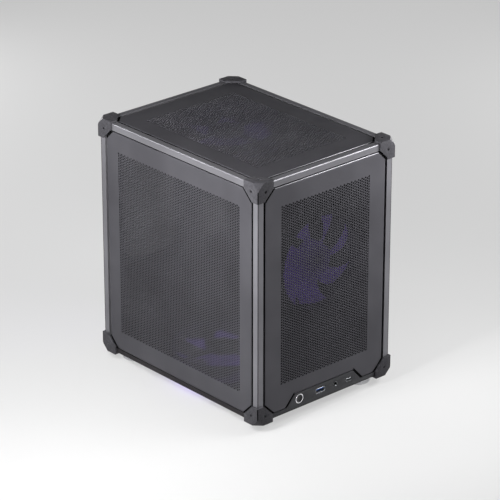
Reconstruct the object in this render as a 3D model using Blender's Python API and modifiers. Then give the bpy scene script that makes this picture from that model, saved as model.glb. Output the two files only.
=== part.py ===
"""Micro ATX computer case.

A cage of four tube posts between a top frame and a base pan, capped at its
eight corners by plastic protectors. Four perforated panels push on to the
cage with pins. Inside are the board tray, the rear panel with its slot
covers, a power supply shelf and three fans. A port bar with the power
button closes the front at the bottom.

Units are metres. +Z is up, the front faces -Y, and the origin is on the
floor below the middle of the case.
"""

import math

import bmesh
import bpy
from mathutils import Euler, Matrix, Vector

# Sheet, gaps and rails of the cage
SHEET = 0.0012
SEAT_GAP = 0.0003
RAIL_WIDTH = 0.008
RAIL_EDGE_RADIUS = 0.001
BASE_RAIL_HEIGHT = 0.006
PANEL_SEAT_DEPTH = 0.007
REAR_SEAT_DEPTH = 0.0143
SIDE_FLANGE_REACH = 0.024
REAR_FLANGE_REACH = 0.016
FLOOR_CLEARANCE = 0.013
RAIL_HEIGHT = PANEL_SEAT_DEPTH + SHEET
BRACKET_DEPTH = RAIL_HEIGHT + SEAT_GAP

# The square main board, which sets the depth and the height of the cage
BOARD_SIZE = 0.244
BOARD_SHEET = 0.0016
BOARD_REAR_GAP = 0.0018
BOARD_FRONT_GAP = 0.002
BOARD_ROOM_ABOVE = 0.026
BOARD_ROOM_BELOW = 0.022
STANDOFF_HEIGHT = 0.0065
STANDOFF_RADIUS = 0.0028
STANDOFF_EDGE = 0.0102
STANDOFF_MIDDLE = 0.1651
STANDOFF_FRONT_EDGE = 0.0065
STANDOFF_LOW_EDGE = 0.0154

# The upright power supply, which sets the width of the cage with the cooler beside it
SUPPLY_WIDTH = 0.086
SUPPLY_HEIGHT = 0.150
SUPPLY_SIDE_ROOM = 0.017
COOLER_ROOM = 0.0797
TRAY_INSET = 0.013

# Cage over the flat outer faces of its rails, 205 x 271.5 x 292 mm
CAGE_WIDTH = (
    SUPPLY_SIDE_ROOM + SUPPLY_WIDTH + COOLER_ROOM + BOARD_SHEET + STANDOFF_HEIGHT + SHEET
    + TRAY_INSET
)
CAGE_DEPTH = (
    BRACKET_DEPTH + SHEET + BOARD_FRONT_GAP + BOARD_SIZE + BOARD_REAR_GAP + REAR_SEAT_DEPTH
    - SEAT_GAP
)
CAGE_HEIGHT = BOARD_ROOM_BELOW + BOARD_SIZE + BOARD_ROOM_ABOVE

# Heights and faces that follow from the cage
BASE_Z = FLOOR_CLEARANCE
TOP_Z = BASE_Z + CAGE_HEIGHT
MIDDLE_Z = BASE_Z + CAGE_HEIGHT / 2
LEFT_X = -CAGE_WIDTH / 2
RIGHT_X = CAGE_WIDTH / 2
FRONT_Y = -CAGE_DEPTH / 2
REAR_Y = CAGE_DEPTH / 2
REAR_PANEL_INNER_Y = REAR_Y - REAR_SEAT_DEPTH + SEAT_GAP
REAR_PANEL_OUTER_Y = REAR_PANEL_INNER_Y + SHEET
TRAY_INNER_X = RIGHT_X - TRAY_INSET - SHEET
BOARD_FACE_X = TRAY_INNER_X - STANDOFF_HEIGHT - BOARD_SHEET
BOARD_REAR_Y = REAR_PANEL_INNER_Y - BOARD_REAR_GAP
BOARD_TOP_HEIGHT = CAGE_HEIGHT - BOARD_ROOM_ABOVE

# Corner protectors
PROTECTOR_STAND = 0.0025
PROTECTOR_LEG = 0.021
PROTECTOR_TAIL = 0.0075
PROTECTOR_FACET = 0.009
PROTECTOR_GROOVE = 0.0016
PROTECTOR_SCREW_INSET = 0.0088
PROTECTOR_SCREW_RADIUS = 0.0017
APEX_WALL = 0.0043

# Perforated panels
PANEL_SHEET = 0.001
PANEL_SIDE_GAP = 0.0029
PANEL_TOP_GAP = 0.0016
PANEL_BASE_GAP = 0.0008
PANEL_CORNER_GAP = 0.0008
PANEL_TRAVEL_GAP = 0.0005
PANEL_DEPTH = PANEL_SEAT_DEPTH - PANEL_TRAVEL_GAP
SIDE_FIELD_MARGIN = (0.019, 0.0215)
FRONT_FIELD_MARGIN = (0.0235, 0.0225)
FRONT_FIELD_FOOT = 0.030
TOP_FIELD_MARGIN = (0.0235, 0.027)
GRILLE_PITCH = 0.034
GRILLE_OPENING = 0.0215
PIN_EDGE = 0.005
PIN_INSET = SIDE_FLANGE_REACH - PIN_EDGE
PIN_END_INSET = 0.035
PIN_RADIUS = 0.0018
PIN_CLEARANCE = 0.0003

# Fans
FAN_SIZE = 0.120
FAN_THICKNESS = 0.025
FAN_CORNER_CUT = 0.004
FAN_RIM = 0.0023
FAN_FLANGE = 0.004
FAN_DUCT_WALL = 0.0012
FAN_HOLE_INSET = 0.0075
FAN_HOLE_RADIUS = 0.0021
FAN_HUB_RADIUS = 0.0205
FAN_CUP_WALL = 0.0015
FAN_CUP_GAP = 0.002
FAN_FACE_GAP = 0.003
FAN_STATOR_GAP = 0.0025
FAN_TIP_GAP = 0.0019
FAN_SHAFT_RADIUS = 0.0015
FAN_STRUT_WIDTH = 0.005
FAN_STRUT_DEPTH = 0.003
FAN_OPENING_LIP = 0.0012
FAN_BORE_RADIUS = FAN_SIZE / 2 - FAN_RIM
FAN_OPENING_RADIUS = FAN_BORE_RADIUS - FAN_OPENING_LIP
FAN_CUP_TOP = FAN_THICKNESS / 2 - FAN_FACE_GAP
FAN_CUP_BASE = FAN_STRUT_DEPTH + FAN_CUP_GAP - FAN_THICKNESS / 2
FAN_STATOR_RADIUS = FAN_HUB_RADIUS - FAN_CUP_WALL - FAN_STATOR_GAP
FAN_STATOR_TOP = FAN_CUP_TOP - 2 * FAN_CUP_WALL - FAN_STATOR_GAP

# Fan blades
BLADE_COUNT = 7
BLADE_TIP_RADIUS = FAN_BORE_RADIUS - FAN_TIP_GAP
BLADE_SHEET = 0.0012
BLADE_MARGIN = 0.003
BLADE_DEPTH = FAN_CUP_TOP - FAN_CUP_BASE - BLADE_MARGIN
BLADE_TWIST = 34.0
BLADE_SWEEP = 16.0
BLADE_TAPER = 0.25
BLADE_ARCH = 0.12
BLADE_SPANS = 2
BLADE_CHORDS = 3

# Where the fans sit
FRONT_FAN_DROP = 0.124
TOP_FAN_FROM_REAR = 0.10375
BASE_FAN_SIDE_GAP = 0.0043
BASE_FAN_Y = 0.006
FRONT_FAN_HEIGHT = CAGE_HEIGHT - FRONT_FAN_DROP
TOP_FAN_Y = REAR_Y - TOP_FAN_FROM_REAR
BASE_FAN_X = LEFT_X + RAIL_HEIGHT + BASE_FAN_SIDE_GAP + FAN_SIZE / 2

# Feet
FOOT_INSET = (0.025, 0.024)
FOOT_RADIUS = 0.014
FOOT_NECK_RADIUS = 0.0105
FOOT_NECK_HEIGHT = 0.003
FOOT_SHOULDER = 0.001
FOOT_RIM = 0.0022
FOOT_PAD_RADIUS = FOOT_RADIUS - FOOT_RIM
FOOT_PAD_HEIGHT = 0.0022
FOOT_RIM_LIFT = 0.0012

# Power button, with its height above the underside of the cage
POWER_BUTTON_X = -0.0385
POWER_HEIGHT = 0.0118
POWER_RING_RADIUS = 0.006
POWER_RING_WIDTH = 0.0012
POWER_RING_DEPTH = 0.003
POWER_CAP_LENGTH = 0.0042
POWER_CAP_RECESS = 0.0004
POWER_STEM_RADIUS = 0.0015
POWER_STEM_LENGTH = 0.005
POWER_TRAVEL = 0.0015
SWITCH_WALL = 0.0007
SWITCH_DEPTH = 0.014
POWER_CAP_RADIUS = POWER_RING_RADIUS - POWER_RING_WIDTH - SEAT_GAP
SWITCH_RADIUS = POWER_CAP_RADIUS + SEAT_GAP + SWITCH_WALL

# Ports on their own small board, with heights above the underside of the cage
PORT_CLEARANCE = 0.0002
PORT_BOARD_SHEET = 0.0016
PORT_BOARD_LEVEL = 0.0064
PORT_BOARD_DEPTH = 0.020
PORT_BOARD_OVERHANG = (0.0133, 0.006)
PORT_SEAT_HEIGHT = PORT_BOARD_LEVEL + PORT_BOARD_SHEET + SEAT_GAP
USB_A_X = -0.0055
USB_A_SIZE = (0.0144, 0.0064)
USB_A_WALL = 0.0006
USB_A_DEPTH = 0.014
USB_A_BLOCK = 0.003
USB_A_HEIGHT = PORT_SEAT_HEIGHT + USB_A_SIZE[1] / 2
USB_C_X = 0.0393
USB_C_SIZE = (0.0094, 0.0036)
USB_C_WALL = 0.0004
USB_C_DEPTH = 0.009
USB_C_BLOCK = 0.002
USB_C_HEIGHT = PORT_SEAT_HEIGHT + USB_C_SIZE[1] / 2
JACK_X = 0.0178
JACK_BARREL_RADIUS = 0.003
JACK_BORE_RADIUS = 0.0018
JACK_BODY = 0.007
JACK_DEPTH = 0.013
JACK_HEIGHT = PORT_SEAT_HEIGHT + JACK_BODY / 2
PORT_BOARD_LEFT_X = USB_A_X - USB_A_SIZE[0] / 2 - PORT_BOARD_OVERHANG[0]
PORT_BOARD_RIGHT_X = USB_C_X + USB_C_SIZE[0] / 2 + PORT_BOARD_OVERHANG[1]

# Front port bar, with heights above the underside of the cage
BAR_END_GAP = 0.0005
BAR_HALF_LENGTH = CAGE_WIDTH / 2 - PROTECTOR_LEG - BAR_END_GAP
BAR_BAND_DROP = 0.0002
BAR_BAND_HEIGHT = BASE_RAIL_HEIGHT - BAR_BAND_DROP
BAR_RING_MARGIN = 0.0017
BAR_TOP_HEIGHT = POWER_HEIGHT + POWER_RING_RADIUS + BAR_RING_MARGIN
BAR_PORT_MARGIN = 0.0015
BAR_TOP_HALF_LENGTH = BAR_PORT_MARGIN + max(
    POWER_RING_RADIUS - POWER_BUTTON_X, USB_C_X + USB_C_SIZE[0] / 2
)
BAR_SLOPE = 0.012
BAR_SHOULDER_HALF_LENGTH = BAR_TOP_HALF_LENGTH + BAR_SLOPE
BAR_DEPTH = 0.012
BAR_WALL = 0.002

# Board tray, measured from the rear and top edges of the board
TRAY_WINDOW = (0.110, 0.100)
TRAY_WINDOW_FROM_REAR = 0.085
TRAY_WINDOW_FROM_TOP = 0.076
TRAY_WINDOW_CORNER = 0.010
TRAY_CABLE_SLOT = (0.014, 0.055)
TRAY_CABLE_SLOT_INSET = 0.031
TRAY_CABLE_SLOTS_FROM_TOP = (0.051, 0.191)

# Port window and expansion slots of the rear panel
IO_WINDOW = (0.04445, 0.15875)
IO_WINDOW_OVER_BOARD = 0.0043
IO_WINDOW_TOP_DROP = 0.0025
IO_SLOT_GAP = 0.0118
SLOT_PITCH = 0.02032
SLOT_OPENING = (0.092, 0.0127)
SLOT_BOARD_GAP = 0.0082
SLOT_COVER_SHEET = 0.001
SLOT_COVER_GAP = 0.0019
SLOT_COVER_OVERLAP = 0.003
SLOT_COVER_TAIL = 0.006
SLOT_LEDGE_GAP = 0.006
SLOT_LEDGE_DEPTH = 0.011
SLOT_EAR_WINDOW = 0.012
SLOT_SCREW_RADIUS = 0.0016
SLOT_SCREW_HEAD_RADIUS = 0.004
SLOT_SCREW_HEAD_HEIGHT = 0.005
IO_WINDOW_TOP = BOARD_TOP_HEIGHT - IO_WINDOW_TOP_DROP
SLOT_HIGHEST = IO_WINDOW_TOP - IO_WINDOW[1] - IO_SLOT_GAP
SLOT_COUNT = int((SLOT_HIGHEST - BOARD_ROOM_BELOW) / SLOT_PITCH) + 1
SLOT_LOWEST = SLOT_HIGHEST - (SLOT_COUNT - 1) * SLOT_PITCH
SLOT_RIGHT_X = BOARD_FACE_X - SLOT_BOARD_GAP
SLOT_LEFT_X = SLOT_RIGHT_X - SLOT_OPENING[0]
SLOT_LEDGE_X = SLOT_LEFT_X - SLOT_LEDGE_GAP
SLOT_COVER_WIDTH = SLOT_PITCH - SLOT_COVER_GAP

# Power supply seat: a pressed rim on the rear panel, and a shelf
SUPPLY_SLOT_GAP = 0.0019
SUPPLY_WINDOW_LIP = 0.0033
SUPPLY_WINDOW_CORNER = 0.014
SUPPLY_RIM_RISE = 0.0006
SUPPLY_HOLE_INSET = 0.006
SUPPLY_HOLE_RADIUS = 0.0019
SUPPLY_LEFT_X = LEFT_X + SUPPLY_SIDE_ROOM
SUPPLY_CENTRE_X = SUPPLY_LEFT_X + SUPPLY_WIDTH / 2
SUPPLY_BASE_HEIGHT = SLOT_HIGHEST + SLOT_PITCH / 2 + SUPPLY_SLOT_GAP
SHELF_WIDTH = 0.042
SHELF_DEPTH = 0.138
SHELF_FLANGE = 0.010

# Perforation of the rear panel beside the slots
REAR_VENT_MARGIN = (0.005, 0.008)
REAR_VENT_PITCH = 0.0125
REAR_VENT_OPENING = 0.0085

# Slots beside the fan openings of the front bracket and the top frame
VENT_SLOT = (0.110, 0.007)
VENT_SLOT_PITCH = 0.015
VENT_SLOT_MARGIN = 0.0095
BRACKET_BAR_GAP = 0.0035

# Facets of the round shapes, and what keeps cuts and welds clean
ROUND_LARGE = 28
ROUND_MEDIUM = 14
ROUND_HUB = 14
ROUND_SMALL = 8
SMOOTH_ANGLE = 35.0
CUT_OVERRUN = 0.002
WELD_DISTANCE = 1e-5

# Where each outer face lies: its centre, and the turn that takes local +Z
# outwards and local +Y upwards
FACES = {
    "front": (Vector((0.0, FRONT_Y, MIDDLE_Z)), Euler((math.pi / 2, 0.0, 0.0))),
    "left": (Vector((LEFT_X, 0.0, MIDDLE_Z)), Euler((math.pi / 2, 0.0, -math.pi / 2))),
    "right": (Vector((RIGHT_X, 0.0, MIDDLE_Z)), Euler((math.pi / 2, 0.0, math.pi / 2))),
    "top": (Vector((0.0, 0.0, TOP_Z)), Euler((0.0, 0.0, 0.0))),
}
FACE_SIZES = {
    "front": (CAGE_WIDTH, CAGE_HEIGHT),
    "left": (CAGE_DEPTH, CAGE_HEIGHT),
    "right": (CAGE_DEPTH, CAGE_HEIGHT),
    "top": (CAGE_WIDTH, CAGE_DEPTH),
}


# Scene, materials and the tools that every piece shares

def clear_scene():
    """Start from an empty file, with one collection for parts and one for cutters."""
    for old in list(bpy.data.objects):
        bpy.data.objects.remove(old, do_unlink=True)
    collections = []
    for name in ("micro_atx_case", "cutters"):
        collection = bpy.data.collections.new(name)
        bpy.context.scene.collection.children.link(collection)
        collections.append(collection)
    return collections


PARTS, CUTTERS = clear_scene()


def make_material(name, color, roughness, metallic):
    """A Principled material with one colour, roughness and metallic value."""
    material = bpy.data.materials.new(name)
    material.use_nodes = True
    shader = material.node_tree.nodes["Principled BSDF"]
    shader.inputs["Base Color"].default_value = (*color, 1.0)
    shader.inputs["Roughness"].default_value = roughness
    shader.inputs["Metallic"].default_value = metallic
    material.diffuse_color = (*color, 1.0)
    return material


PANEL_PAINT = make_material("panel_paint", (0.085, 0.086, 0.092), 0.42, 0.2)
CAGE_PAINT = make_material("cage_paint", (0.115, 0.116, 0.123), 0.38, 0.2)
INNER_PAINT = make_material("inner_paint", (0.035, 0.035, 0.038), 0.5, 0.2)
PROTECTOR_PLASTIC = make_material("protector_plastic", (0.075, 0.075, 0.079), 0.45, 0.0)
BAR_PLASTIC = make_material("bar_plastic", (0.05, 0.05, 0.055), 0.5, 0.0)
FAN_PLASTIC = make_material("fan_plastic", (0.03, 0.03, 0.033), 0.45, 0.0)
ROTOR_PLASTIC = make_material("rotor_plastic", (0.16, 0.12, 0.30), 0.35, 0.0)
PORT_STEEL = make_material("port_steel", (0.55, 0.56, 0.58), 0.3, 1.0)
PORT_BLUE = make_material("port_blue", (0.03, 0.13, 0.50), 0.4, 0.0)
PORT_BLACK = make_material("port_black", (0.02, 0.02, 0.022), 0.4, 0.0)
BUTTON_PLASTIC = make_material("button_plastic", (0.025, 0.025, 0.028), 0.35, 0.0)
RING_CHROME = make_material("ring_chrome", (0.75, 0.75, 0.77), 0.18, 1.0)
FOOT_SILVER = make_material("foot_silver", (0.56, 0.56, 0.58), 0.3, 0.9)
PAD_RUBBER = make_material("pad_rubber", (0.02, 0.02, 0.02), 0.85, 0.0)
SCREW_STEEL = make_material("screw_steel", (0.09, 0.09, 0.10), 0.35, 0.9)
BOARD_LAMINATE = make_material("board_laminate", (0.01, 0.03, 0.015), 0.5, 0.0)


def add_object(name, mesh, location=(0.0, 0.0, 0.0), rotation=(0.0, 0.0, 0.0)):
    """Put a mesh in the parts collection."""
    item = bpy.data.objects.new(name, mesh)
    item.location = location
    item.rotation_euler = rotation
    PARTS.objects.link(item)
    return item


def finish(item, material, smooth=False):
    """Give a piece its material, and smooth shading if it is round."""
    item.data.materials.clear()
    item.data.materials.append(material)
    if smooth:
        item.data.shade_smooth()
        item.data.set_sharp_from_angle(angle=math.radians(SMOOTH_ANGLE))
    return item


def mesh_from_bmesh(name, bm):
    """Write a bmesh to a new mesh with its faces pointing out."""
    bmesh.ops.recalc_face_normals(bm, faces=bm.faces)
    mesh = bpy.data.meshes.new(name)
    bm.to_mesh(mesh)
    bm.free()
    return mesh


def add_box(name, low, high):
    """A box between two opposite corners, with its origin at its centre."""
    low = Vector(low)
    high = Vector(high)
    bm = bmesh.new()
    bmesh.ops.create_cube(bm, size=1.0, matrix=Matrix.Diagonal((*(high - low), 1.0)))
    return add_object(name, mesh_from_bmesh(name, bm), (low + high) / 2)


def add_cylinder(name, radius, start, end, segments):
    """A cylinder between two points."""
    start = Vector(start)
    axis = Vector(end) - start
    bm = bmesh.new()
    bmesh.ops.create_cone(
        bm, cap_ends=True, segments=segments, radius1=radius, radius2=radius, depth=axis.length
    )
    item = add_object(name, mesh_from_bmesh(name, bm), start + axis / 2)
    item.rotation_euler = axis.to_track_quat("Z", "Y").to_euler()
    return item


def add_outline(name, outlines, low, high, location=(0.0, 0.0, 0.0), rotation=(0.0, 0.0, 0.0)):
    """A flat outline, with any holes, extruded from local z low to high."""
    curve = bpy.data.curves.new(name, "CURVE")
    curve.dimensions = "2D"
    curve.fill_mode = "BOTH"
    curve.extrude = (high - low) / 2
    for points in outlines:
        spline = curve.splines.new("POLY")
        spline.points.add(len(points) - 1)
        for point, (x, y) in zip(spline.points, points):
            point.co = (x, y, 0.0, 1.0)
        spline.use_cyclic_u = True
    guide = bpy.data.objects.new(name, curve)
    CUTTERS.objects.link(guide)
    depsgraph = bpy.context.evaluated_depsgraph_get()
    filled = bpy.data.meshes.new_from_object(guide.evaluated_get(depsgraph))
    bpy.data.objects.remove(guide)
    bm = bmesh.new()
    bm.from_mesh(filled)
    bmesh.ops.remove_doubles(bm, verts=bm.verts, dist=WELD_DISTANCE)
    bmesh.ops.translate(bm, verts=bm.verts, vec=(0.0, 0.0, (high + low) / 2))
    return add_object(name, mesh_from_bmesh(name, bm), location, rotation)


def add_turned(name, profile, segments, location=(0.0, 0.0, 0.0), rotation=(0.0, 0.0, 0.0)):
    """A profile of (radius, height) points turned about local Z."""
    mesh = bpy.data.meshes.new(name)
    closed = profile[0] == profile[-1]
    points = [(radius, 0.0, height) for radius, height in (profile[:-1] if closed else profile)]
    edges = [(index, index + 1) for index in range(len(points) - 1)]
    if closed:
        edges.append((len(points) - 1, 0))
    mesh.from_pydata(points, edges, [])
    item = add_object(name, mesh, location, rotation)
    screw = item.modifiers.new("turn", "SCREW")
    screw.axis = "Z"
    screw.steps = segments
    screw.render_steps = segments
    screw.use_merge_vertices = True
    screw.merge_threshold = WELD_DISTANCE
    screw.use_smooth_shade = False
    return item


def boolean(item, other, operation):
    """Cut or join another solid, which then becomes a guide."""
    modifier = item.modifiers.new(operation.lower(), "BOOLEAN")
    modifier.operation = operation
    modifier.solver = "EXACT"
    modifier.object = other
    if other.name not in CUTTERS.objects:
        PARTS.objects.unlink(other)
        CUTTERS.objects.link(other)
        other.hide_render = True
        other.display_type = "WIRE"


def cut(item, *cutters):
    """Take other solids away from a piece."""
    for cutter in cutters:
        boolean(item, cutter, "DIFFERENCE")


def join(item, *others):
    """Make other solids one with a piece."""
    for other in others:
        boolean(item, other, "UNION")


def settle(item):
    """Replace a piece by its finished mesh, so that copies can share it."""
    depsgraph = bpy.context.evaluated_depsgraph_get()
    finished = bpy.data.meshes.new_from_object(item.evaluated_get(depsgraph))
    item.modifiers.clear()
    item.data = finished
    return item


def rectangle(low, high, corner=0.0):
    """A rectangle, counter-clockwise, with its corners cut at 45 degrees."""
    (left, bottom), (right, top) = low, high
    if corner == 0.0:
        return [(left, bottom), (right, bottom), (right, top), (left, top)]
    return [
        (left + corner, bottom), (right - corner, bottom),
        (right, bottom + corner), (right, top - corner),
        (right - corner, top), (left + corner, top),
        (left, top - corner), (left, bottom + corner),
    ]


def centred_rectangle(centre, size, corner=0.0):
    """A rectangle given by its centre and size."""
    half = (size[0] / 2, size[1] / 2)
    low = (centre[0] - half[0], centre[1] - half[1])
    high = (centre[0] + half[0], centre[1] + half[1])
    return rectangle(low, high, corner)


def circle(centre, radius, segments):
    """Points on a circle, counter-clockwise."""
    angles = [math.tau * step / segments for step in range(segments)]
    return [
        (centre[0] + radius * math.cos(angle), centre[1] + radius * math.sin(angle))
        for angle in angles
    ]


def slot_row(low, high):
    """Middles of the vent slots that fit between two edges, from the low one."""
    first = low + VENT_SLOT_MARGIN + VENT_SLOT[1] / 2
    last = high - VENT_SLOT_MARGIN - VENT_SLOT[1] / 2
    count = int((last - first) / VENT_SLOT_PITCH) + 1
    return [first + index * VENT_SLOT_PITCH for index in range(count)]


def inset(points, distance):
    """Move every edge of a counter-clockwise outline inwards."""
    moved = []
    for index, here in enumerate(points):
        here = Vector(here)
        arriving = (here - Vector(points[index - 1])).normalized()
        leaving = (Vector(points[(index + 1) % len(points)]) - here).normalized()
        arriving_normal = Vector((-arriving.y, arriving.x))
        leaving_normal = Vector((-leaving.y, leaving.x))
        spread = 1.0 + arriving_normal.dot(leaving_normal)
        moved.append(here + (arriving_normal + leaving_normal) * (distance / spread))
    return moved


def honeycomb(centre, size, pitch, opening):
    """Centres of holes in staggered columns that fill a field."""
    radius = opening / math.sqrt(3.0)
    column_pitch = pitch * math.sqrt(3.0) / 2
    columns = int((size[0] / 2 - radius) / column_pitch)
    places = []
    for column in range(-columns, columns + 1):
        shift = pitch / 2 if column % 2 else 0.0
        rows = int((size[1] / 2 - opening / 2 + shift) / pitch)
        for row in range(-rows, rows + 1):
            height = row * pitch + shift
            if abs(height) + opening / 2 <= size[1] / 2:
                places.append((centre[0] + column * column_pitch, centre[1] + height))
    return places


def add_punch(name, places, opening, low, high, location, rotation):
    """A set of flat-topped hexagonal prisms that punch a perforated field."""
    bm = bmesh.new()
    flat_top = Matrix.Rotation(math.pi / 6, 4, "Z")
    for x, y in places:
        place = Matrix.Translation((x, y, (low + high) / 2)) @ flat_top
        bmesh.ops.create_cone(
            bm, cap_ends=True, segments=6, radius1=opening / math.sqrt(3.0),
            radius2=opening / math.sqrt(3.0), depth=high - low, matrix=place,
        )
    return add_object(name, mesh_from_bmesh(name, bm), location, rotation)


def round_edges(item, radius, chosen):
    """Round the edges of a box whose two ends satisfy a test."""
    bm = bmesh.new()
    bm.from_mesh(item.data)
    edges = [edge for edge in bm.edges if chosen(edge.verts[0].co, edge.verts[1].co)]
    bmesh.ops.bevel(bm, geom=edges, offset=radius, segments=2, profile=0.5, affect="EDGES")
    bm.to_mesh(item.data)
    bm.free()


# Cage

def corner_signs():
    """The eight corners as names and signs along X, Y and Z."""
    for level, up in (("top", 1), ("base", -1)):
        for depth, back in (("front", -1), ("rear", 1)):
            for side, right in (("left", -1), ("right", 1)):
                yield f"{depth}_{side}_{level}", Vector((right, back, up))


def corner_trim(name, signs, reach):
    """A block that cuts off one cage corner where its three edges meet."""
    corner = Vector((signs.x * RIGHT_X, signs.y * REAR_Y, MIDDLE_Z + signs.z * CAGE_HEIGHT / 2))
    size = 4 * reach
    outward = Vector(signs).normalized()
    face_distance = reach / math.sqrt(3.0)
    bm = bmesh.new()
    bmesh.ops.create_cube(bm, size=size)
    trim = add_object(name, mesh_from_bmesh(name, bm))
    trim.location = corner + outward * (size / 2 - face_distance)
    trim.rotation_euler = outward.to_track_quat("Z", "Y").to_euler()
    return trim


def trim_corners(item, up):
    """Clip the four corners of the top frame or the base pan."""
    reach = PROTECTOR_FACET - 3 * PROTECTOR_STAND + APEX_WALL
    for name, signs in corner_signs():
        if signs.z == up:
            cut(item, corner_trim(f"{name}_trim", signs, reach))


def pin_places(side):
    """Where the panel's pins stand on one face, in the face's own plane."""
    width, height = FACE_SIZES[side]
    end_inset = PIN_INSET if side == "top" else PIN_END_INSET
    return [
        (x * (width / 2 - PIN_INSET), y * (height / 2 - end_inset))
        for x in (-1, 1)
        for y in (-1, 1)
    ]


def pins(name, side, radius, low, high):
    """Four parallel round pins, or pin holes, on one face."""
    centre, turn = FACES[side]
    bm = bmesh.new()
    for x, y in pin_places(side):
        place = Matrix.Translation((x, y, (low + high) / 2))
        bmesh.ops.create_cone(
            bm, cap_ends=True, segments=ROUND_SMALL, radius1=radius, radius2=radius,
            depth=high - low, matrix=place,
        )
    return add_object(name, mesh_from_bmesh(name, bm), centre, turn)


def make_pin_holes():
    """One set of cutters for each face that holds a panel."""
    deep = -(RAIL_HEIGHT + CUT_OVERRUN)
    shallow = -(PANEL_SEAT_DEPTH - CUT_OVERRUN)
    return {
        side: pins(f"{side}_pin_holes", side, PIN_RADIUS + PIN_CLEARANCE, deep, shallow)
        for side in FACES
    }


def post_outline(face_seat, face_reach):
    """Section of a post: a square tube with two inner flanges, from its outer corner."""
    arc = [
        (
            RAIL_EDGE_RADIUS * (1 - math.cos(math.radians(angle))),
            RAIL_EDGE_RADIUS * (1 - math.sin(math.radians(angle))),
        )
        for angle in (0, 30, 60, 90)
    ]
    outside = arc + [
        (RAIL_WIDTH, 0.0),
        (RAIL_WIDTH, face_seat),
        (face_reach, face_seat),
        (face_reach, face_seat + SHEET),
        (RAIL_HEIGHT, face_seat + SHEET),
        (RAIL_HEIGHT, SIDE_FLANGE_REACH),
        (PANEL_SEAT_DEPTH, SIDE_FLANGE_REACH),
        (PANEL_SEAT_DEPTH, RAIL_WIDTH),
        (0.0, RAIL_WIDTH),
    ]
    inside = rectangle((SHEET, SHEET), (RAIL_WIDTH - SHEET, RAIL_WIDTH - SHEET))
    return outside, inside


def make_posts(pin_holes):
    """Four posts between the base pan and the top frame."""
    low = BASE_Z + BASE_RAIL_HEIGHT + SEAT_GAP
    high = TOP_Z - RAIL_HEIGHT - SEAT_GAP
    depths = {
        "front": (FRONT_Y, 1, PANEL_SEAT_DEPTH, SIDE_FLANGE_REACH),
        "rear": (REAR_Y, -1, REAR_SEAT_DEPTH, REAR_FLANGE_REACH),
    }
    for depth, (corner_y, inward_y, face_seat, face_reach) in depths.items():
        outlines = post_outline(face_seat, face_reach)
        for side, (corner_x, inward_x) in {"left": (LEFT_X, 1), "right": (RIGHT_X, -1)}.items():
            placed = [
                [(x * inward_x, y * inward_y) for x, y in outline]
                for outline in outlines
            ]
            post = add_outline(f"post_{depth}_{side}", placed, low, high, (corner_x, corner_y, 0.0))
            cut(post, pin_holes[side])
            if depth == "front":
                cut(post, pin_holes["front"])
            finish(post, CAGE_PAINT)


def make_top_frame(pin_holes):
    """Top rails round a sunk deck that carries the top fan."""
    frame = add_box(
        "top_frame", (LEFT_X, FRONT_Y, TOP_Z - RAIL_HEIGHT), (RIGHT_X, REAR_Y, TOP_Z)
    )
    round_edges(
        frame, RAIL_EDGE_RADIUS,
        lambda a, b: (a.z > 0 and b.z > 0) or (a.z > 0) != (b.z > 0),
    )
    gusset = PROTECTOR_LEG + PROTECTOR_TAIL - 2 * RAIL_WIDTH - SHEET
    recess_outline = rectangle(
        (LEFT_X + RAIL_WIDTH, FRONT_Y + RAIL_WIDTH),
        (RIGHT_X - RAIL_WIDTH, REAR_Y - RAIL_WIDTH), gusset,
    )
    recess = add_outline("top_recess", [recess_outline], TOP_Z - PANEL_SEAT_DEPTH, TOP_Z + CUT_OVERRUN)
    channel_outer = rectangle((LEFT_X + SHEET, FRONT_Y + SHEET), (RIGHT_X - SHEET, REAR_Y - SHEET))
    channel = add_outline(
        "top_channel", [channel_outer, inset(recess_outline, -SHEET)],
        TOP_Z - RAIL_HEIGHT - CUT_OVERRUN, TOP_Z - SHEET,
    )
    fan_hole = circle((0.0, TOP_FAN_Y), FAN_OPENING_RADIUS, ROUND_LARGE)
    slots = [
        centred_rectangle((0.0, middle), VENT_SLOT)
        for middle in slot_row(FRONT_Y + RAIL_WIDTH, TOP_FAN_Y - FAN_OPENING_RADIUS)
    ]
    openings = add_outline(
        "top_openings", [fan_hole] + slots, TOP_Z - RAIL_HEIGHT - CUT_OVERRUN, TOP_Z
    )
    cut(frame, recess, channel, openings, pin_holes["top"])
    trim_corners(frame, 1)
    finish(frame, CAGE_PAINT)


def make_base_pan():
    """Base sheet with its low rails, open under the base fan and behind the port bar."""
    pan = add_box(
        "base_pan", (LEFT_X, FRONT_Y, BASE_Z), (RIGHT_X, REAR_Y, BASE_Z + BASE_RAIL_HEIGHT)
    )
    round_edges(
        pan, RAIL_EDGE_RADIUS,
        lambda a, b: (a.z < 0 and b.z < 0) or (a.z > 0) != (b.z > 0),
    )
    inside = add_box(
        "pan_inside", (LEFT_X + SHEET, FRONT_Y + SHEET, BASE_Z + SHEET),
        (RIGHT_X - SHEET, REAR_Y - SHEET, BASE_Z + BASE_RAIL_HEIGHT + CUT_OVERRUN),
    )
    bar_notch = add_box(
        "pan_bar_notch",
        (-BAR_HALF_LENGTH - SEAT_GAP, FRONT_Y - CUT_OVERRUN, BASE_Z + SHEET),
        (BAR_HALF_LENGTH + SEAT_GAP, FRONT_Y + 2 * SHEET, BASE_Z + BASE_RAIL_HEIGHT + CUT_OVERRUN),
    )
    fan_hole = add_outline(
        "pan_fan_hole", [circle((BASE_FAN_X, BASE_FAN_Y), FAN_OPENING_RADIUS, ROUND_LARGE)],
        BASE_Z - CUT_OVERRUN, BASE_Z + SHEET + CUT_OVERRUN,
    )
    cut(pan, inside, bar_notch, fan_hole)
    trim_corners(pan, -1)
    finish(pan, CAGE_PAINT)


# Corner protectors

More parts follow.
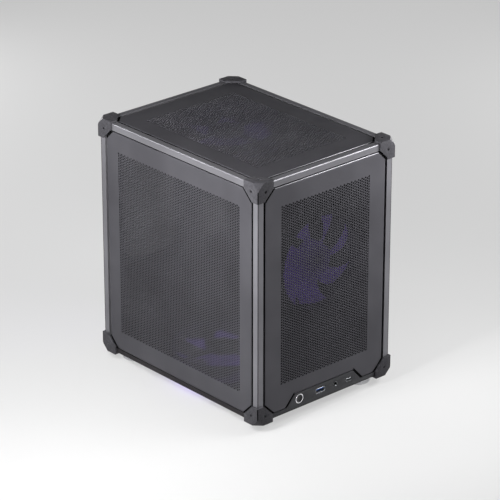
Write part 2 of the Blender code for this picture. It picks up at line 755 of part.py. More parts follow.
def edge_cutter(name, reach, wall_axis):
    """A block that takes the triangle between the two legs off one protector wall."""
    size = 3 * PROTECTOR_LEG
    turn = {"x": (0.0, 1.0, 1.0), "y": (1.0, 0.0, 1.0), "z": (1.0, 1.0, 0.0)}[wall_axis]
    outward = Vector(turn).normalized()
    bm = bmesh.new()
    bmesh.ops.create_cube(bm, size=size)
    cutter = add_object(name, mesh_from_bmesh(name, bm))
    cutter.location = outward * (reach / math.sqrt(2.0) + size / 2)
    cutter.rotation_euler = outward.to_track_quat("Z", "Y").to_euler()
    return cutter


def cut_vertex_box(name, low, high, leg):
    """A cube whose lowest corner is cut off by a plane across its three edges."""
    cube = add_box(name, (low, low, low), (high, high, high))
    bm = bmesh.new()
    bm.from_mesh(cube.data)
    lowest = min(bm.verts, key=lambda vertex: sum(vertex.co))
    bmesh.ops.bevel(bm, geom=[lowest], offset=leg, segments=1, affect="VERTICES")
    bmesh.ops.recalc_face_normals(bm, faces=bm.faces)
    bm.to_mesh(cube.data)
    bm.free()
    return cube


def protector_mesh():
    """One protector for a corner at the origin whose edges run along +X, +Y and +Z."""
    outer = cut_vertex_box("protector", -PROTECTOR_STAND, PROTECTOR_LEG, PROTECTOR_FACET)
    apex_leg = PROTECTOR_FACET - 3 * PROTECTOR_STAND + APEX_WALL + 2 * SEAT_GAP
    inner = cut_vertex_box(
        "protector_inside", -SEAT_GAP, PROTECTOR_LEG + CUT_OVERRUN, apex_leg
    )
    cut(outer, inner)
    for axis in ("x", "y", "z"):
        cut(outer, edge_cutter(f"protector_cut_{axis}", PROTECTOR_LEG + PROTECTOR_TAIL, axis))
    groove = add_box(
        "protector_groove",
        (-PROTECTOR_GROOVE / 2, -PROTECTOR_GROOVE / 2, 0.0),
        (PROTECTOR_GROOVE / 2, PROTECTOR_GROOVE / 2, 2 * PROTECTOR_LEG),
    )
    groove.location = (-PROTECTOR_STAND, -PROTECTOR_STAND, PROTECTOR_LEG)
    groove.rotation_euler = (0.0, 0.0, math.pi / 4)
    cut(outer, groove)
    start = -PROTECTOR_STAND - CUT_OVERRUN
    near = PROTECTOR_SCREW_INSET
    for axis, ends in {
        "x": ((start, near, near), (0.0, near, near)),
        "y": ((near, start, near), (near, 0.0, near)),
        "z": ((near, near, start), (near, near, 0.0)),
    }.items():
        cut(outer, add_cylinder(f"protector_hole_{axis}", PROTECTOR_SCREW_RADIUS, *ends, ROUND_SMALL))
    settle(outer)
    mesh = outer.data
    mesh.transform(outer.matrix_world)
    bpy.data.objects.remove(outer)
    return mesh


def make_protectors():
    """Mirror the one protector to the eight corners of the cage."""
    bpy.context.view_layer.update()
    pattern = protector_mesh()
    for name, signs in corner_signs():
        mesh = pattern.copy()
        mesh.transform(Matrix.Diagonal((*(-signs), 1.0)))
        if signs.x * signs.y * signs.z > 0:
            mesh.flip_normals()
        corner = (signs.x * RIGHT_X, signs.y * REAR_Y, MIDDLE_Z + signs.z * CAGE_HEIGHT / 2)
        finish(add_object(f"corner_{name}", mesh, corner), PROTECTOR_PLASTIC)


# Perforated panels

def panel_outline(side, low_gap, high_gap, side_gap):
    """Outer outline of one panel in its face's own plane, with its four cut corners."""
    width, height = FACE_SIZES[side]
    reach = PROTECTOR_LEG + PROTECTOR_TAIL + PANEL_CORNER_GAP * math.sqrt(2.0)
    left = -width / 2 + side_gap
    right = -left
    low = -height / 2 + low_gap
    high = height / 2 - high_gap
    low_leg = reach - side_gap - low_gap
    high_leg = reach - side_gap - high_gap
    return [
        (left + low_leg, low), (right - low_leg, low),
        (right, low + low_leg), (right, high - high_leg),
        (right - high_leg, high), (left + high_leg, high),
        (left, high - high_leg), (left, low + low_leg),
    ]


def make_panel(side, outline, field_centre, field_size):
    """A folded panel: perforated face, return flanges all round and four pins."""
    centre, turn = FACES[side]
    panel = add_outline(f"{side}_panel", [outline], -PANEL_DEPTH, 0.0, centre, turn)
    cavity = add_outline(
        f"{side}_panel_cavity", [inset(outline, PANEL_SHEET)],
        -PANEL_DEPTH - CUT_OVERRUN, -PANEL_SHEET, centre, turn,
    )
    places = honeycomb(field_centre, field_size, GRILLE_PITCH, GRILLE_OPENING)
    punch = add_punch(
        f"{side}_panel_punch", places, GRILLE_OPENING,
        -PANEL_SHEET - CUT_OVERRUN, CUT_OVERRUN, centre, turn,
    )
    cut(panel, cavity, punch)
    join(panel, pins(f"{side}_pins", side, PIN_RADIUS, -RAIL_HEIGHT, -PANEL_SHEET / 2))
    finish(panel, PANEL_PAINT)


def field_between(outline, side_margin, low_margin, high_margin):
    """Centre and size of the perforated field inside a panel outline."""
    left = min(x for x, y in outline) + side_margin
    low = min(y for x, y in outline) + low_margin
    high = max(y for x, y in outline) - high_margin
    return (0.0, (low + high) / 2), (-2 * left, high - low)


def make_panels():
    """Left, right, front and top panels."""
    side_gap = RAIL_WIDTH + PANEL_SIDE_GAP
    rail_gap = RAIL_WIDTH + PANEL_TOP_GAP
    base_gap = BASE_RAIL_HEIGHT + PANEL_BASE_GAP
    for side in ("left", "right"):
        outline = panel_outline(side, base_gap, rail_gap, side_gap)
        across, along = SIDE_FIELD_MARGIN
        make_panel(side, outline, *field_between(outline, across, along, along))

    outline = panel_outline("front", base_gap, rail_gap, side_gap)
    floor = -CAGE_HEIGHT / 2
    shoulder = BAR_SHOULDER_HALF_LENGTH + PANEL_BASE_GAP
    crest = BAR_TOP_HALF_LENGTH + PANEL_BASE_GAP / 2
    notch_top = floor + BAR_TOP_HEIGHT + PANEL_BASE_GAP
    notch = [
        (-shoulder, floor + base_gap), (-crest, notch_top),
        (crest, notch_top), (shoulder, floor + base_gap),
    ]
    notched = outline[:1] + notch + outline[1:]
    across, along = FRONT_FIELD_MARGIN
    make_panel("front", notched, *field_between(outline, across, FRONT_FIELD_FOOT, along))

    outline = panel_outline("top", side_gap, side_gap, side_gap)
    across, along = TOP_FIELD_MARGIN
    make_panel("top", outline, *field_between(outline, across, along, along))


# Fans, built about their own axis with the intake side towards local +Z

def fan_frame_mesh():
    """Two drilled flanges on a round duct, four struts and the stator with its bearing."""
    back = -FAN_THICKNESS / 2
    strut_top = back + FAN_STRUT_DEPTH
    hole = FAN_SIZE / 2 - FAN_HOLE_INSET
    housing = add_outline(
        "fan_housing",
        [
            centred_rectangle((0.0, 0.0), (FAN_SIZE, FAN_SIZE), FAN_CORNER_CUT),
            circle((0.0, 0.0), FAN_BORE_RADIUS, ROUND_LARGE),
        ] + [circle((x * hole, y * hole), FAN_HOLE_RADIUS, ROUND_SMALL) for x in (-1, 1) for y in (-1, 1)],
        back, -back,
    )
    beyond = FAN_SIZE + 2 * CUT_OVERRUN
    pocket = add_outline(
        "fan_pocket",
        [
            centred_rectangle((0.0, 0.0), (beyond, beyond)),
            circle((0.0, 0.0), FAN_BORE_RADIUS + FAN_DUCT_WALL, ROUND_LARGE),
        ],
        back + FAN_FLANGE, -back - FAN_FLANGE,
    )
    cut(housing, pocket)
    reach = FAN_BORE_RADIUS + FAN_DUCT_WALL / 2
    for index, (x, y) in enumerate(((1, 0), (0, 1))):
        long_side = Vector((x, y, 0.0)) * reach
        short_side = Vector((y, x, 0.0)) * FAN_STRUT_WIDTH / 2
        low = -(long_side + short_side) + Vector((0.0, 0.0, back))
        high = long_side + short_side + Vector((0.0, 0.0, strut_top))
        join(housing, add_box(f"fan_strut_{index}", low, high))
    bearing = FAN_SHAFT_RADIUS + SEAT_GAP
    stator = add_turned(
        "fan_stator",
        [
            (0.0, strut_top), (bearing, strut_top), (bearing, FAN_STATOR_TOP),
            (FAN_STATOR_RADIUS, FAN_STATOR_TOP), (FAN_STATOR_RADIUS, strut_top),
            (FAN_HUB_RADIUS, strut_top), (FAN_HUB_RADIUS, back), (0.0, back),
        ],
        ROUND_HUB,
    )
    join(housing, stator)
    settle(housing)
    mesh = housing.data
    bpy.data.objects.remove(housing)
    return mesh


def blade_point(span, chord):
    """A point of one blade's middle surface, for span and chord from 0 to 1."""
    root = FAN_HUB_RADIUS - FAN_CUP_WALL / 2
    radius = root + (BLADE_TIP_RADIUS - root) * span
    sweep = math.radians(BLADE_SWEEP) * span * span
    angle = sweep + math.radians(BLADE_TWIST) * (chord - 0.5)
    rise = BLADE_DEPTH * (1.0 - BLADE_TAPER * span)
    height = rise * (chord - 0.5) + BLADE_ARCH * BLADE_DEPTH * math.sin(math.pi * chord)
    return (radius * math.cos(angle), radius * math.sin(angle), height)


def rotor_mesh():
    """Cup hub with its shaft and a ring of swept, twisted blades."""
    hub = add_turned(
        "rotor",
        [
            (0.0, FAN_CUP_TOP), (FAN_HUB_RADIUS - FAN_CUP_WALL, FAN_CUP_TOP),
            (FAN_HUB_RADIUS, FAN_CUP_TOP - FAN_CUP_WALL), (FAN_HUB_RADIUS, FAN_CUP_BASE),
            (FAN_HUB_RADIUS - FAN_CUP_WALL, FAN_CUP_BASE),
            (FAN_HUB_RADIUS - FAN_CUP_WALL, FAN_CUP_TOP - 2 * FAN_CUP_WALL),
            (FAN_SHAFT_RADIUS, FAN_CUP_TOP - 2 * FAN_CUP_WALL), (FAN_SHAFT_RADIUS, FAN_CUP_BASE),
            (0.0, FAN_CUP_BASE),
        ],
        ROUND_HUB,
    )
    bm = bmesh.new()
    rows = [
        [bm.verts.new(blade_point(i / BLADE_SPANS, j / BLADE_CHORDS)) for j in range(BLADE_CHORDS + 1)]
        for i in range(BLADE_SPANS + 1)
    ]
    for i in range(BLADE_SPANS):
        for j in range(BLADE_CHORDS):
            bm.faces.new((rows[i][j], rows[i + 1][j], rows[i + 1][j + 1], rows[i][j + 1]))
    surface = mesh_from_bmesh("blade", bm)
    for index in range(BLADE_COUNT):
        blade = add_object(f"blade_{index}", surface.copy())
        blade.rotation_euler = (0.0, 0.0, math.tau * index / BLADE_COUNT)
        shell = blade.modifiers.new("sheet", "SOLIDIFY")
        shell.thickness = BLADE_SHEET
        shell.offset = 0.0
        join(hub, blade)
    settle(hub)
    mesh = hub.data
    bpy.data.objects.remove(hub)
    return mesh


def fan_places():
    """Name, centre and turn of each fan."""
    half = FAN_THICKNESS / 2
    front_y = FRONT_Y + BRACKET_DEPTH + SHEET + SEAT_GAP + half
    top_z = TOP_Z - RAIL_HEIGHT - SEAT_GAP - half
    base_z = BASE_Z + SHEET + SEAT_GAP + half
    intake_down = Euler((math.pi, 0.0, 0.0))
    return {
        "front_fan": ((0.0, front_y, BASE_Z + FRONT_FAN_HEIGHT), Euler((math.pi / 2, 0.0, 0.0))),
        "top_fan": ((0.0, TOP_FAN_Y, top_z), intake_down),
        "base_fan": ((BASE_FAN_X, BASE_FAN_Y, base_z), intake_down),
    }


def make_fans():
    """Three fans that share one housing and one rotor shape."""
    housing = fan_frame_mesh()
    rotor = rotor_mesh()
    for name, (place, turn) in fan_places().items():
        finish(add_object(f"{name}_frame", housing.copy(), place, turn), FAN_PLASTIC, True)
        finish(add_object(f"{name}_rotor", rotor.copy(), place, turn), ROTOR_PLASTIC, True)


def make_front_bracket():
    """Plate behind the front posts that carries the front fan."""
    half_width = CAGE_WIDTH / 2 - PANEL_SEAT_DEPTH - 2 * SHEET
    low = BASE_Z + BAR_TOP_HEIGHT + BRACKET_BAR_GAP
    high = TOP_Z - RAIL_HEIGHT - SEAT_GAP
    plate = rectangle((-half_width, low), (half_width, high))
    fan_height = BASE_Z + FRONT_FAN_HEIGHT
    fan_hole = circle((0.0, fan_height), FAN_OPENING_RADIUS, ROUND_LARGE)
    slots = [
        centred_rectangle((0.0, middle), VENT_SLOT)
        for middle in slot_row(low, fan_height - FAN_OPENING_RADIUS)
    ]
    bracket = add_outline(
        "front_fan_bracket", [plate, fan_hole] + slots, 0.0, SHEET,
        (0.0, FRONT_Y + BRACKET_DEPTH + SHEET, 0.0), (math.pi / 2, 0.0, 0.0),
    )
    finish(bracket, INNER_PAINT)


# Feet

def make_feet():
    """Four turned feet with rubber pads let into their undersides."""
    top = FLOOR_CLEARANCE - SEAT_GAP
    neck = top - FOOT_NECK_HEIGHT
    recess = FOOT_PAD_HEIGHT + SEAT_GAP
    foot_profile = [
        (0.0, top), (FOOT_NECK_RADIUS, top), (FOOT_NECK_RADIUS, neck),
        (FOOT_RADIUS, neck - FOOT_SHOULDER), (FOOT_RADIUS, FOOT_RIM_LIFT),
        (FOOT_PAD_RADIUS + SEAT_GAP, FOOT_RIM_LIFT),
        (FOOT_PAD_RADIUS + SEAT_GAP, recess), (0.0, recess),
    ]
    pad_profile = [
        (0.0, FOOT_PAD_HEIGHT), (FOOT_PAD_RADIUS, FOOT_PAD_HEIGHT), (FOOT_PAD_RADIUS, 0.0), (0.0, 0.0)
    ]
    for depth, y in (("front", FRONT_Y + FOOT_INSET[1]), ("rear", REAR_Y - FOOT_INSET[1])):
        for side, x in (("left", LEFT_X + FOOT_INSET[0]), ("right", RIGHT_X - FOOT_INSET[0])):
            foot = add_turned(f"foot_{depth}_{side}", foot_profile, ROUND_MEDIUM, (x, y, 0.0))
            finish(settle(foot), FOOT_SILVER, True)
            pad = add_turned(f"foot_pad_{depth}_{side}", pad_profile, ROUND_MEDIUM, (x, y, 0.0))
            finish(settle(pad), PAD_RUBBER, True)


# Port bar, drawn in the front face's plane with height measured from the cage's underside

def bar_frame(depth):
    """Location of a piece whose local +Z points forwards, at a depth behind the front."""
    return (0.0, FRONT_Y + depth, BASE_Z), (math.pi / 2, 0.0, 0.0)


def bar_outline():
    """Outline of the port bar: a low band with a raised middle."""
    low = SHEET + SEAT_GAP
    return [
        (-BAR_HALF_LENGTH, low), (BAR_HALF_LENGTH, low),
        (BAR_HALF_LENGTH, BAR_BAND_HEIGHT), (BAR_SHOULDER_HALF_LENGTH, BAR_BAND_HEIGHT),
        (BAR_TOP_HALF_LENGTH, BAR_TOP_HEIGHT), (-BAR_TOP_HALF_LENGTH, BAR_TOP_HEIGHT),
        (-BAR_SHOULDER_HALF_LENGTH, BAR_BAND_HEIGHT), (-BAR_HALF_LENGTH, BAR_BAND_HEIGHT),
    ]


def usb_c_outline(size):
    """A flat slot with round ends."""
    radius = size[1] / 2
    straight = size[0] / 2 - radius
    right = [
        (USB_C_X + straight + radius * math.cos(angle), USB_C_HEIGHT + radius * math.sin(angle))
        for angle in (math.radians(step) for step in (-90, -45, 0, 45, 90))
    ]
    left = [(2 * USB_C_X - x, 2 * USB_C_HEIGHT - y) for x, y in right]
    return right + left


def make_port_bar():
    """Moulded bar: a front wall with the port openings and a rim behind it."""
    place, turn = bar_frame(0.0)
    outline = bar_outline()
    grow = 2 * PORT_CLEARANCE
    openings = [
        circle((POWER_BUTTON_X, POWER_HEIGHT), POWER_RING_RADIUS + SEAT_GAP, ROUND_MEDIUM),
        centred_rectangle((USB_A_X, USB_A_HEIGHT), (USB_A_SIZE[0] + grow, USB_A_SIZE[1] + grow)),
        circle((JACK_X, JACK_HEIGHT), JACK_BARREL_RADIUS + PORT_CLEARANCE, ROUND_MEDIUM),
        usb_c_outline((USB_C_SIZE[0] + grow, USB_C_SIZE[1] + grow)),
    ]
    bar = add_outline("io_bar", [outline] + openings, -BAR_DEPTH, 0.0, place, turn)
    band_wall = (BAR_BAND_HEIGHT - SHEET - SEAT_GAP) / 3
    hollow_outline = [
        (-BAR_SHOULDER_HALF_LENGTH + BAR_WALL, SHEET + SEAT_GAP + band_wall),
        (BAR_SHOULDER_HALF_LENGTH - BAR_WALL, SHEET + SEAT_GAP + band_wall),
        (BAR_SHOULDER_HALF_LENGTH - BAR_WALL, BAR_BAND_HEIGHT - BAR_WALL / 2),
        (BAR_TOP_HALF_LENGTH - BAR_WALL, BAR_TOP_HEIGHT - BAR_WALL),
        (-BAR_TOP_HALF_LENGTH + BAR_WALL, BAR_TOP_HEIGHT - BAR_WALL),
        (-BAR_SHOULDER_HALF_LENGTH + BAR_WALL, BAR_BAND_HEIGHT - BAR_WALL / 2),
    ]
    hollow = add_outline(
        "bar_hollow", [hollow_outline], -BAR_DEPTH - CUT_OVERRUN, -BAR_WALL, place, turn
    )
    cut(bar, hollow)
    for index, (x, inward) in enumerate(((PORT_BOARD_LEFT_X, 1), (PORT_BOARD_RIGHT_X, -1))):
        near, far = sorted((x + inward * BAR_WALL, x + 2 * inward * BAR_WALL))
        rib = add_box(
            f"bar_rib_{index}",
            (near, FRONT_Y + BAR_WALL / 2, BASE_Z + SHEET + SEAT_GAP + band_wall / 2),
            (far, FRONT_Y + BAR_DEPTH, BASE_Z + PORT_BOARD_LEVEL - SEAT_GAP),
        )
        join(bar, rib)
    finish(bar, BAR_PLASTIC)


def make_port_board():
    """Small circuit board that carries the ports."""
    board = add_box(
        "io_board",
        (PORT_BOARD_LEFT_X, FRONT_Y + BAR_WALL + SEAT_GAP, BASE_Z + PORT_BOARD_LEVEL),
        (
            PORT_BOARD_RIGHT_X, FRONT_Y + BAR_WALL + SEAT_GAP + PORT_BOARD_DEPTH,
            BASE_Z + PORT_BOARD_LEVEL + PORT_BOARD_SHEET,
        ),
    )
    finish(board, BOARD_LAMINATE)


def make_usb_a():
    """Folded steel shell with a plastic tongue on a block at its back."""
    place, turn = bar_frame(0.0)
    inner = (USB_A_SIZE[0] - 2 * USB_A_WALL, USB_A_SIZE[1] - 2 * USB_A_WALL)
    centre = (USB_A_X, USB_A_HEIGHT)
    shell = add_outline(
        "usb_a_shell", [centred_rectangle(centre, USB_A_SIZE), centred_rectangle(centre, inner)],
        -USB_A_DEPTH, 0.0, place, turn,
    )
    finish(shell, PORT_STEEL)
    fit = (inner[0] - 2 * PORT_CLEARANCE, inner[1] - 2 * PORT_CLEARANCE)
    tongue = add_outline(
        "usb_a_tongue", [centred_rectangle(centre, fit)],
        -USB_A_DEPTH, -USB_A_DEPTH + USB_A_BLOCK, place, turn,
    )
    leaf_rise = inner[1] / 5
    leaf = add_outline(
        "usb_a_leaf",
        [centred_rectangle((USB_A_X, USB_A_HEIGHT + leaf_rise), (fit[0] - 2 * USB_A_WALL, fit[1] / 3))],
        -USB_A_DEPTH + USB_A_BLOCK / 2, -2 * USB_A_WALL, place, turn,
    )
    join(tongue, leaf)
    finish(tongue, PORT_BLUE)


def make_usb_c():
    """Seamless steel shell with a thin central tongue."""
    place, turn = bar_frame(0.0)
    inner = (USB_C_SIZE[0] - 2 * USB_C_WALL, USB_C_SIZE[1] - 2 * USB_C_WALL)
    shell = add_outline(
        "usb_c_shell", [usb_c_outline(USB_C_SIZE), usb_c_outline(inner)],
        -USB_C_DEPTH, 0.0, place, turn,
    )
    finish(shell, PORT_STEEL)
    fit = (inner[0] - 2 * PORT_CLEARANCE, inner[1] - 2 * PORT_CLEARANCE)
    tongue = add_outline(
        "usb_c_tongue", [usb_c_outline(fit)],
        -USB_C_DEPTH, -USB_C_DEPTH + USB_C_BLOCK, place, turn,
    )
    leaf = add_outline(
        "usb_c_leaf",
        [centred_rectangle((USB_C_X, USB_C_HEIGHT), (fit[0] - USB_C_SIZE[1] / 2, fit[1] / 4))],
        -USB_C_DEPTH + USB_C_BLOCK / 2, -2 * USB_C_WALL, place, turn,
    )
    join(tongue, leaf)
    finish(tongue, PORT_BLACK)


def make_audio_jack():
    """Square body with a round threaded nose and a blind bore."""
    axis_height = BASE_Z + JACK_HEIGHT
    body = add_box(
        "audio_jack",
        (JACK_X - JACK_BODY / 2, FRONT_Y + BAR_WALL + SEAT_GAP, axis_height - JACK_BODY / 2),
        (JACK_X + JACK_BODY / 2, FRONT_Y + JACK_DEPTH, axis_height + JACK_BODY / 2),
    )
    nose = add_cylinder(
        "jack_nose", JACK_BARREL_RADIUS, (JACK_X, FRONT_Y - SEAT_GAP, axis_height),
        (JACK_X, FRONT_Y + BAR_WALL + 2 * SHEET, axis_height), ROUND_MEDIUM,
    )
    bore = add_cylinder(
        "jack_bore", JACK_BORE_RADIUS, (JACK_X, FRONT_Y - CUT_OVERRUN, axis_height),
        (JACK_X, FRONT_Y + JACK_DEPTH - BAR_WALL, axis_height), ROUND_SMALL,
    )
    join(body, nose)
    cut(body, bore)
    finish(body, PORT_BLACK)


def make_power_button():
    """Ring, push button and the switch cup that guides it."""
    place = (POWER_BUTTON_X, FRONT_Y, BASE_Z + POWER_HEIGHT)
    turn = (math.pi / 2, 0.0, 0.0)
    ring_inner = POWER_RING_RADIUS - POWER_RING_WIDTH
    ring = add_turned(
        "power_ring",
        [
            (ring_inner, SEAT_GAP), (POWER_RING_RADIUS, SEAT_GAP),
            (POWER_RING_RADIUS, -POWER_RING_DEPTH), (ring_inner, -POWER_RING_DEPTH),
            (ring_inner, SEAT_GAP),
        ],
        ROUND_MEDIUM, place, turn,
    )
    finish(settle(ring), RING_CHROME, True)

    cap_back = -POWER_CAP_RECESS - POWER_CAP_LENGTH
    button = add_turned(
        "power_button",
        [
            (0.0, -POWER_CAP_RECESS), (POWER_CAP_RADIUS, -POWER_CAP_RECESS),
            (POWER_CAP_RADIUS, cap_back), (POWER_STEM_RADIUS, cap_back),
            (POWER_STEM_RADIUS, cap_back - POWER_STEM_LENGTH), (0.0, cap_back - POWER_STEM_LENGTH),
        ],
        ROUND_MEDIUM, place, turn,
    )
    finish(settle(button), BUTTON_PLASTIC, True)

    mouth = -POWER_RING_DEPTH - SEAT_GAP
    cup_floor = cap_back - POWER_TRAVEL - 2 * SEAT_GAP
    stem_floor = cap_back - POWER_STEM_LENGTH - POWER_TRAVEL - 2 * SEAT_GAP
    guide_radius = POWER_CAP_RADIUS + SEAT_GAP
    stem_guide = POWER_STEM_RADIUS + SEAT_GAP
    switch = add_turned(
        "power_switch",
        [
            (0.0, stem_floor), (stem_guide, stem_floor), (stem_guide, cup_floor),
            (guide_radius, cup_floor), (guide_radius, mouth), (SWITCH_RADIUS, mouth),
            (SWITCH_RADIUS, mouth - SWITCH_DEPTH), (0.0, mouth - SWITCH_DEPTH),
        ],
        ROUND_MEDIUM, place, turn,
    )
    finish(settle(switch), PORT_BLACK, True)


# Board tray

def make_board_tray():
    """Upright sheet with the cooler window, cable slots and nine pressed standoffs."""
    front = FRONT_Y + BRACKET_DEPTH + SHEET + SEAT_GAP
    rear = REAR_Y - REAR_SEAT_DEPTH - SHEET - SEAT_GAP
    low = SHEET + SEAT_GAP
    high = CAGE_HEIGHT - RAIL_HEIGHT - SEAT_GAP
    cable_slots = [
        centred_rectangle((front + TRAY_CABLE_SLOT_INSET, BOARD_TOP_HEIGHT - drop), TRAY_CABLE_SLOT)
        for drop in TRAY_CABLE_SLOTS_FROM_TOP
    ]
    window = centred_rectangle(
        (BOARD_REAR_Y - TRAY_WINDOW_FROM_REAR, BOARD_TOP_HEIGHT - TRAY_WINDOW_FROM_TOP),
        TRAY_WINDOW, TRAY_WINDOW_CORNER,
    )
    place = (TRAY_INNER_X, 0.0, BASE_Z)
    turn = (math.pi / 2, 0.0, math.pi / 2)
    tray = add_outline(
        "board_tray", [rectangle((front, low), (rear, high)), window] + cable_slots,
        0.0, SHEET, place, turn,
    )
    bm = bmesh.new()
    for from_rear in (STANDOFF_EDGE, STANDOFF_MIDDLE, BOARD_SIZE - STANDOFF_FRONT_EDGE):
        for from_top in (STANDOFF_EDGE, STANDOFF_MIDDLE, BOARD_SIZE - STANDOFF_LOW_EDGE):
            centre = (BOARD_REAR_Y - from_rear, BOARD_TOP_HEIGHT - from_top)
            depth = STANDOFF_HEIGHT + SHEET / 2
            middle = Matrix.Translation((*centre, SHEET / 2 - depth / 2))
            bmesh.ops.create_cone(
                bm, cap_ends=True, segments=ROUND_SMALL, radius1=STANDOFF_RADIUS,
                radius2=STANDOFF_RADIUS, depth=depth, matrix=middle,
            )
    join(tray, add_object("standoffs", mesh_from_bmesh("standoffs", bm), place, turn))
    finish(tray, INNER_PAINT)


# Rear panel, slot covers and power supply shelf

def slot_heights():
    """Height of each expansion slot above the cage's underside, from the lowest."""
    return [SLOT_LOWEST + index * SLOT_PITCH for index in range(SLOT_COUNT)]


def make_rear_panel():
    """Rear sheet with the port window, slot openings, supply seat, vent and screw ledge."""
    half_width = CAGE_WIDTH / 2 - RAIL_HEIGHT - SEAT_GAP
    plate = rectangle(
        (-half_width, SHEET + SEAT_GAP), (half_width, CAGE_HEIGHT - RAIL_HEIGHT - SEAT_GAP)
    )
    io_right = BOARD_FACE_X + IO_WINDOW_OVER_BOARD
    io_window = rectangle(
        (io_right - IO_WINDOW[0], IO_WINDOW_TOP - IO_WINDOW[1]), (io_right, IO_WINDOW_TOP)
    )
    slot_middle_x = (SLOT_LEFT_X + SLOT_RIGHT_X) / 2
    slots = [centred_rectangle((slot_middle_x, height), SLOT_OPENING) for height in slot_heights()]
    slots_low = SLOT_LOWEST - SLOT_PITCH / 2
    slots_high = SLOT_HIGHEST + SLOT_PITCH / 2
    ear_left = SLOT_LEDGE_X - SLOT_EAR_WINDOW
    ear_window = rectangle((ear_left, slots_low), (SLOT_LEDGE_X, slots_high))
    place = (0.0, REAR_PANEL_OUTER_Y, BASE_Z)
    turn = (math.pi / 2, 0.0, 0.0)
    panel = add_outline("rear_panel", [plate, io_window, ear_window] + slots, 0.0, SHEET, place, turn)

    across, along = REAR_VENT_MARGIN
    vent_low = (-half_width + across, slots_low + along)
    vent_high = (ear_left - across, slots_high - along)
    vent_centre = ((vent_low[0] + vent_high[0]) / 2, (vent_low[1] + vent_high[1]) / 2)
    vent_size = (vent_high[0] - vent_low[0], vent_high[1] - vent_low[1])
    vent = add_punch(
        "rear_vent_punch", honeycomb(vent_centre, vent_size, REAR_VENT_PITCH, REAR_VENT_OPENING),
        REAR_VENT_OPENING, -CUT_OVERRUN, SHEET + CUT_OVERRUN, place, turn,
    )
    cut(panel, vent)
    join(panel, supply_rim(place, turn))
    cut(panel, supply_cutter(place, turn))

    ledge = add_box(
        "slot_ledge",
        (SLOT_LEDGE_X, REAR_PANEL_INNER_Y + SHEET / 2, BASE_Z + slots_low),
        (SLOT_LEDGE_X + SHEET, REAR_PANEL_OUTER_Y + SLOT_LEDGE_DEPTH, BASE_Z + slots_high),
    )
    join(panel, ledge)
    for index, height in enumerate(slot_heights()):
        hole = screw_axis(height, -CUT_OVERRUN, SHEET + CUT_OVERRUN)
        radius = SLOT_SCREW_RADIUS + SEAT_GAP
        cut(panel, add_cylinder(f"ledge_hole_{index}", radius, *hole, ROUND_SMALL))
    finish(panel, INNER_PAINT)


def supply_rim(place, turn):
    """Pressed rim, the size of the supply's face, that the supply lies against."""
    centre = (SUPPLY_CENTRE_X, SUPPLY_BASE_HEIGHT + SUPPLY_HEIGHT / 2)
    outline = centred_rectangle(centre, (SUPPLY_WIDTH, SUPPLY_HEIGHT))
    return add_outline("supply_rim", [outline], SHEET / 2, SHEET + SUPPLY_RIM_RISE, place, turn)


def supply_cutter(place, turn):
    """The supply window and the four screw holes round it, as one set of cutters."""
    centre = (SUPPLY_CENTRE_X, SUPPLY_BASE_HEIGHT + SUPPLY_HEIGHT / 2)
    window_size = (SUPPLY_WIDTH - 2 * SUPPLY_WINDOW_LIP, SUPPLY_HEIGHT - 2 * SUPPLY_WINDOW_LIP)
    low = -CUT_OVERRUN
    high = SHEET + SUPPLY_RIM_RISE + CUT_OVERRUN
    cutter = add_outline(
        "supply_window", [centred_rectangle(centre, window_size, SUPPLY_WINDOW_CORNER)],
        low, high, place, turn,
    )
    across = SUPPLY_WIDTH / 2 - SUPPLY_HOLE_INSET
    along = SUPPLY_HEIGHT / 2 - SUPPLY_HOLE_INSET
    bm = bmesh.new()
    bm.from_mesh(cutter.data)
    for x in (-across, across):
        for y in (-along, along):
            middle = Matrix.Translation((centre[0] + x, centre[1] + y, (low + high) / 2))
            bmesh.ops.create_cone(
                bm, cap_ends=True, segments=ROUND_SMALL, radius1=SUPPLY_HOLE_RADIUS,
                radius2=SUPPLY_HOLE_RADIUS, depth=high - low, matrix=middle,
            )
    cutter.data = mesh_from_bmesh("supply_window", bm)
    return cutter


def screw_axis(height, start, end):
    """Ends of a line along X through a slot's screw, measured from the ledge."""
    y = REAR_PANEL_OUTER_Y + SLOT_LEDGE_DEPTH / 2
    return (
        (SLOT_LEDGE_X + start, y, BASE_Z + height),
        (SLOT_LEDGE_X + end, y, BASE_Z + height),
    )


def tail_cutter(name, right, height, half):
    """Two wedges that taper the far end of a slot cover to half its width."""
    beyond = right + 2 * SLOT_COVER_TAIL
    wedges = [
        [
            (right - SLOT_COVER_TAIL, height + side * 1.5 * half),
            (beyond, height),
            (beyond, height + side * 1.5 * half),
        ][::side]
        for side in (-1, 1)
    ]
    back = REAR_PANEL_INNER_Y
    return add_outline(
        name, wedges, -SLOT_COVER_WIDTH, SLOT_COVER_WIDTH, (0.0, back, BASE_Z),
        (math.pi / 2, 0.0, 0.0),
    )


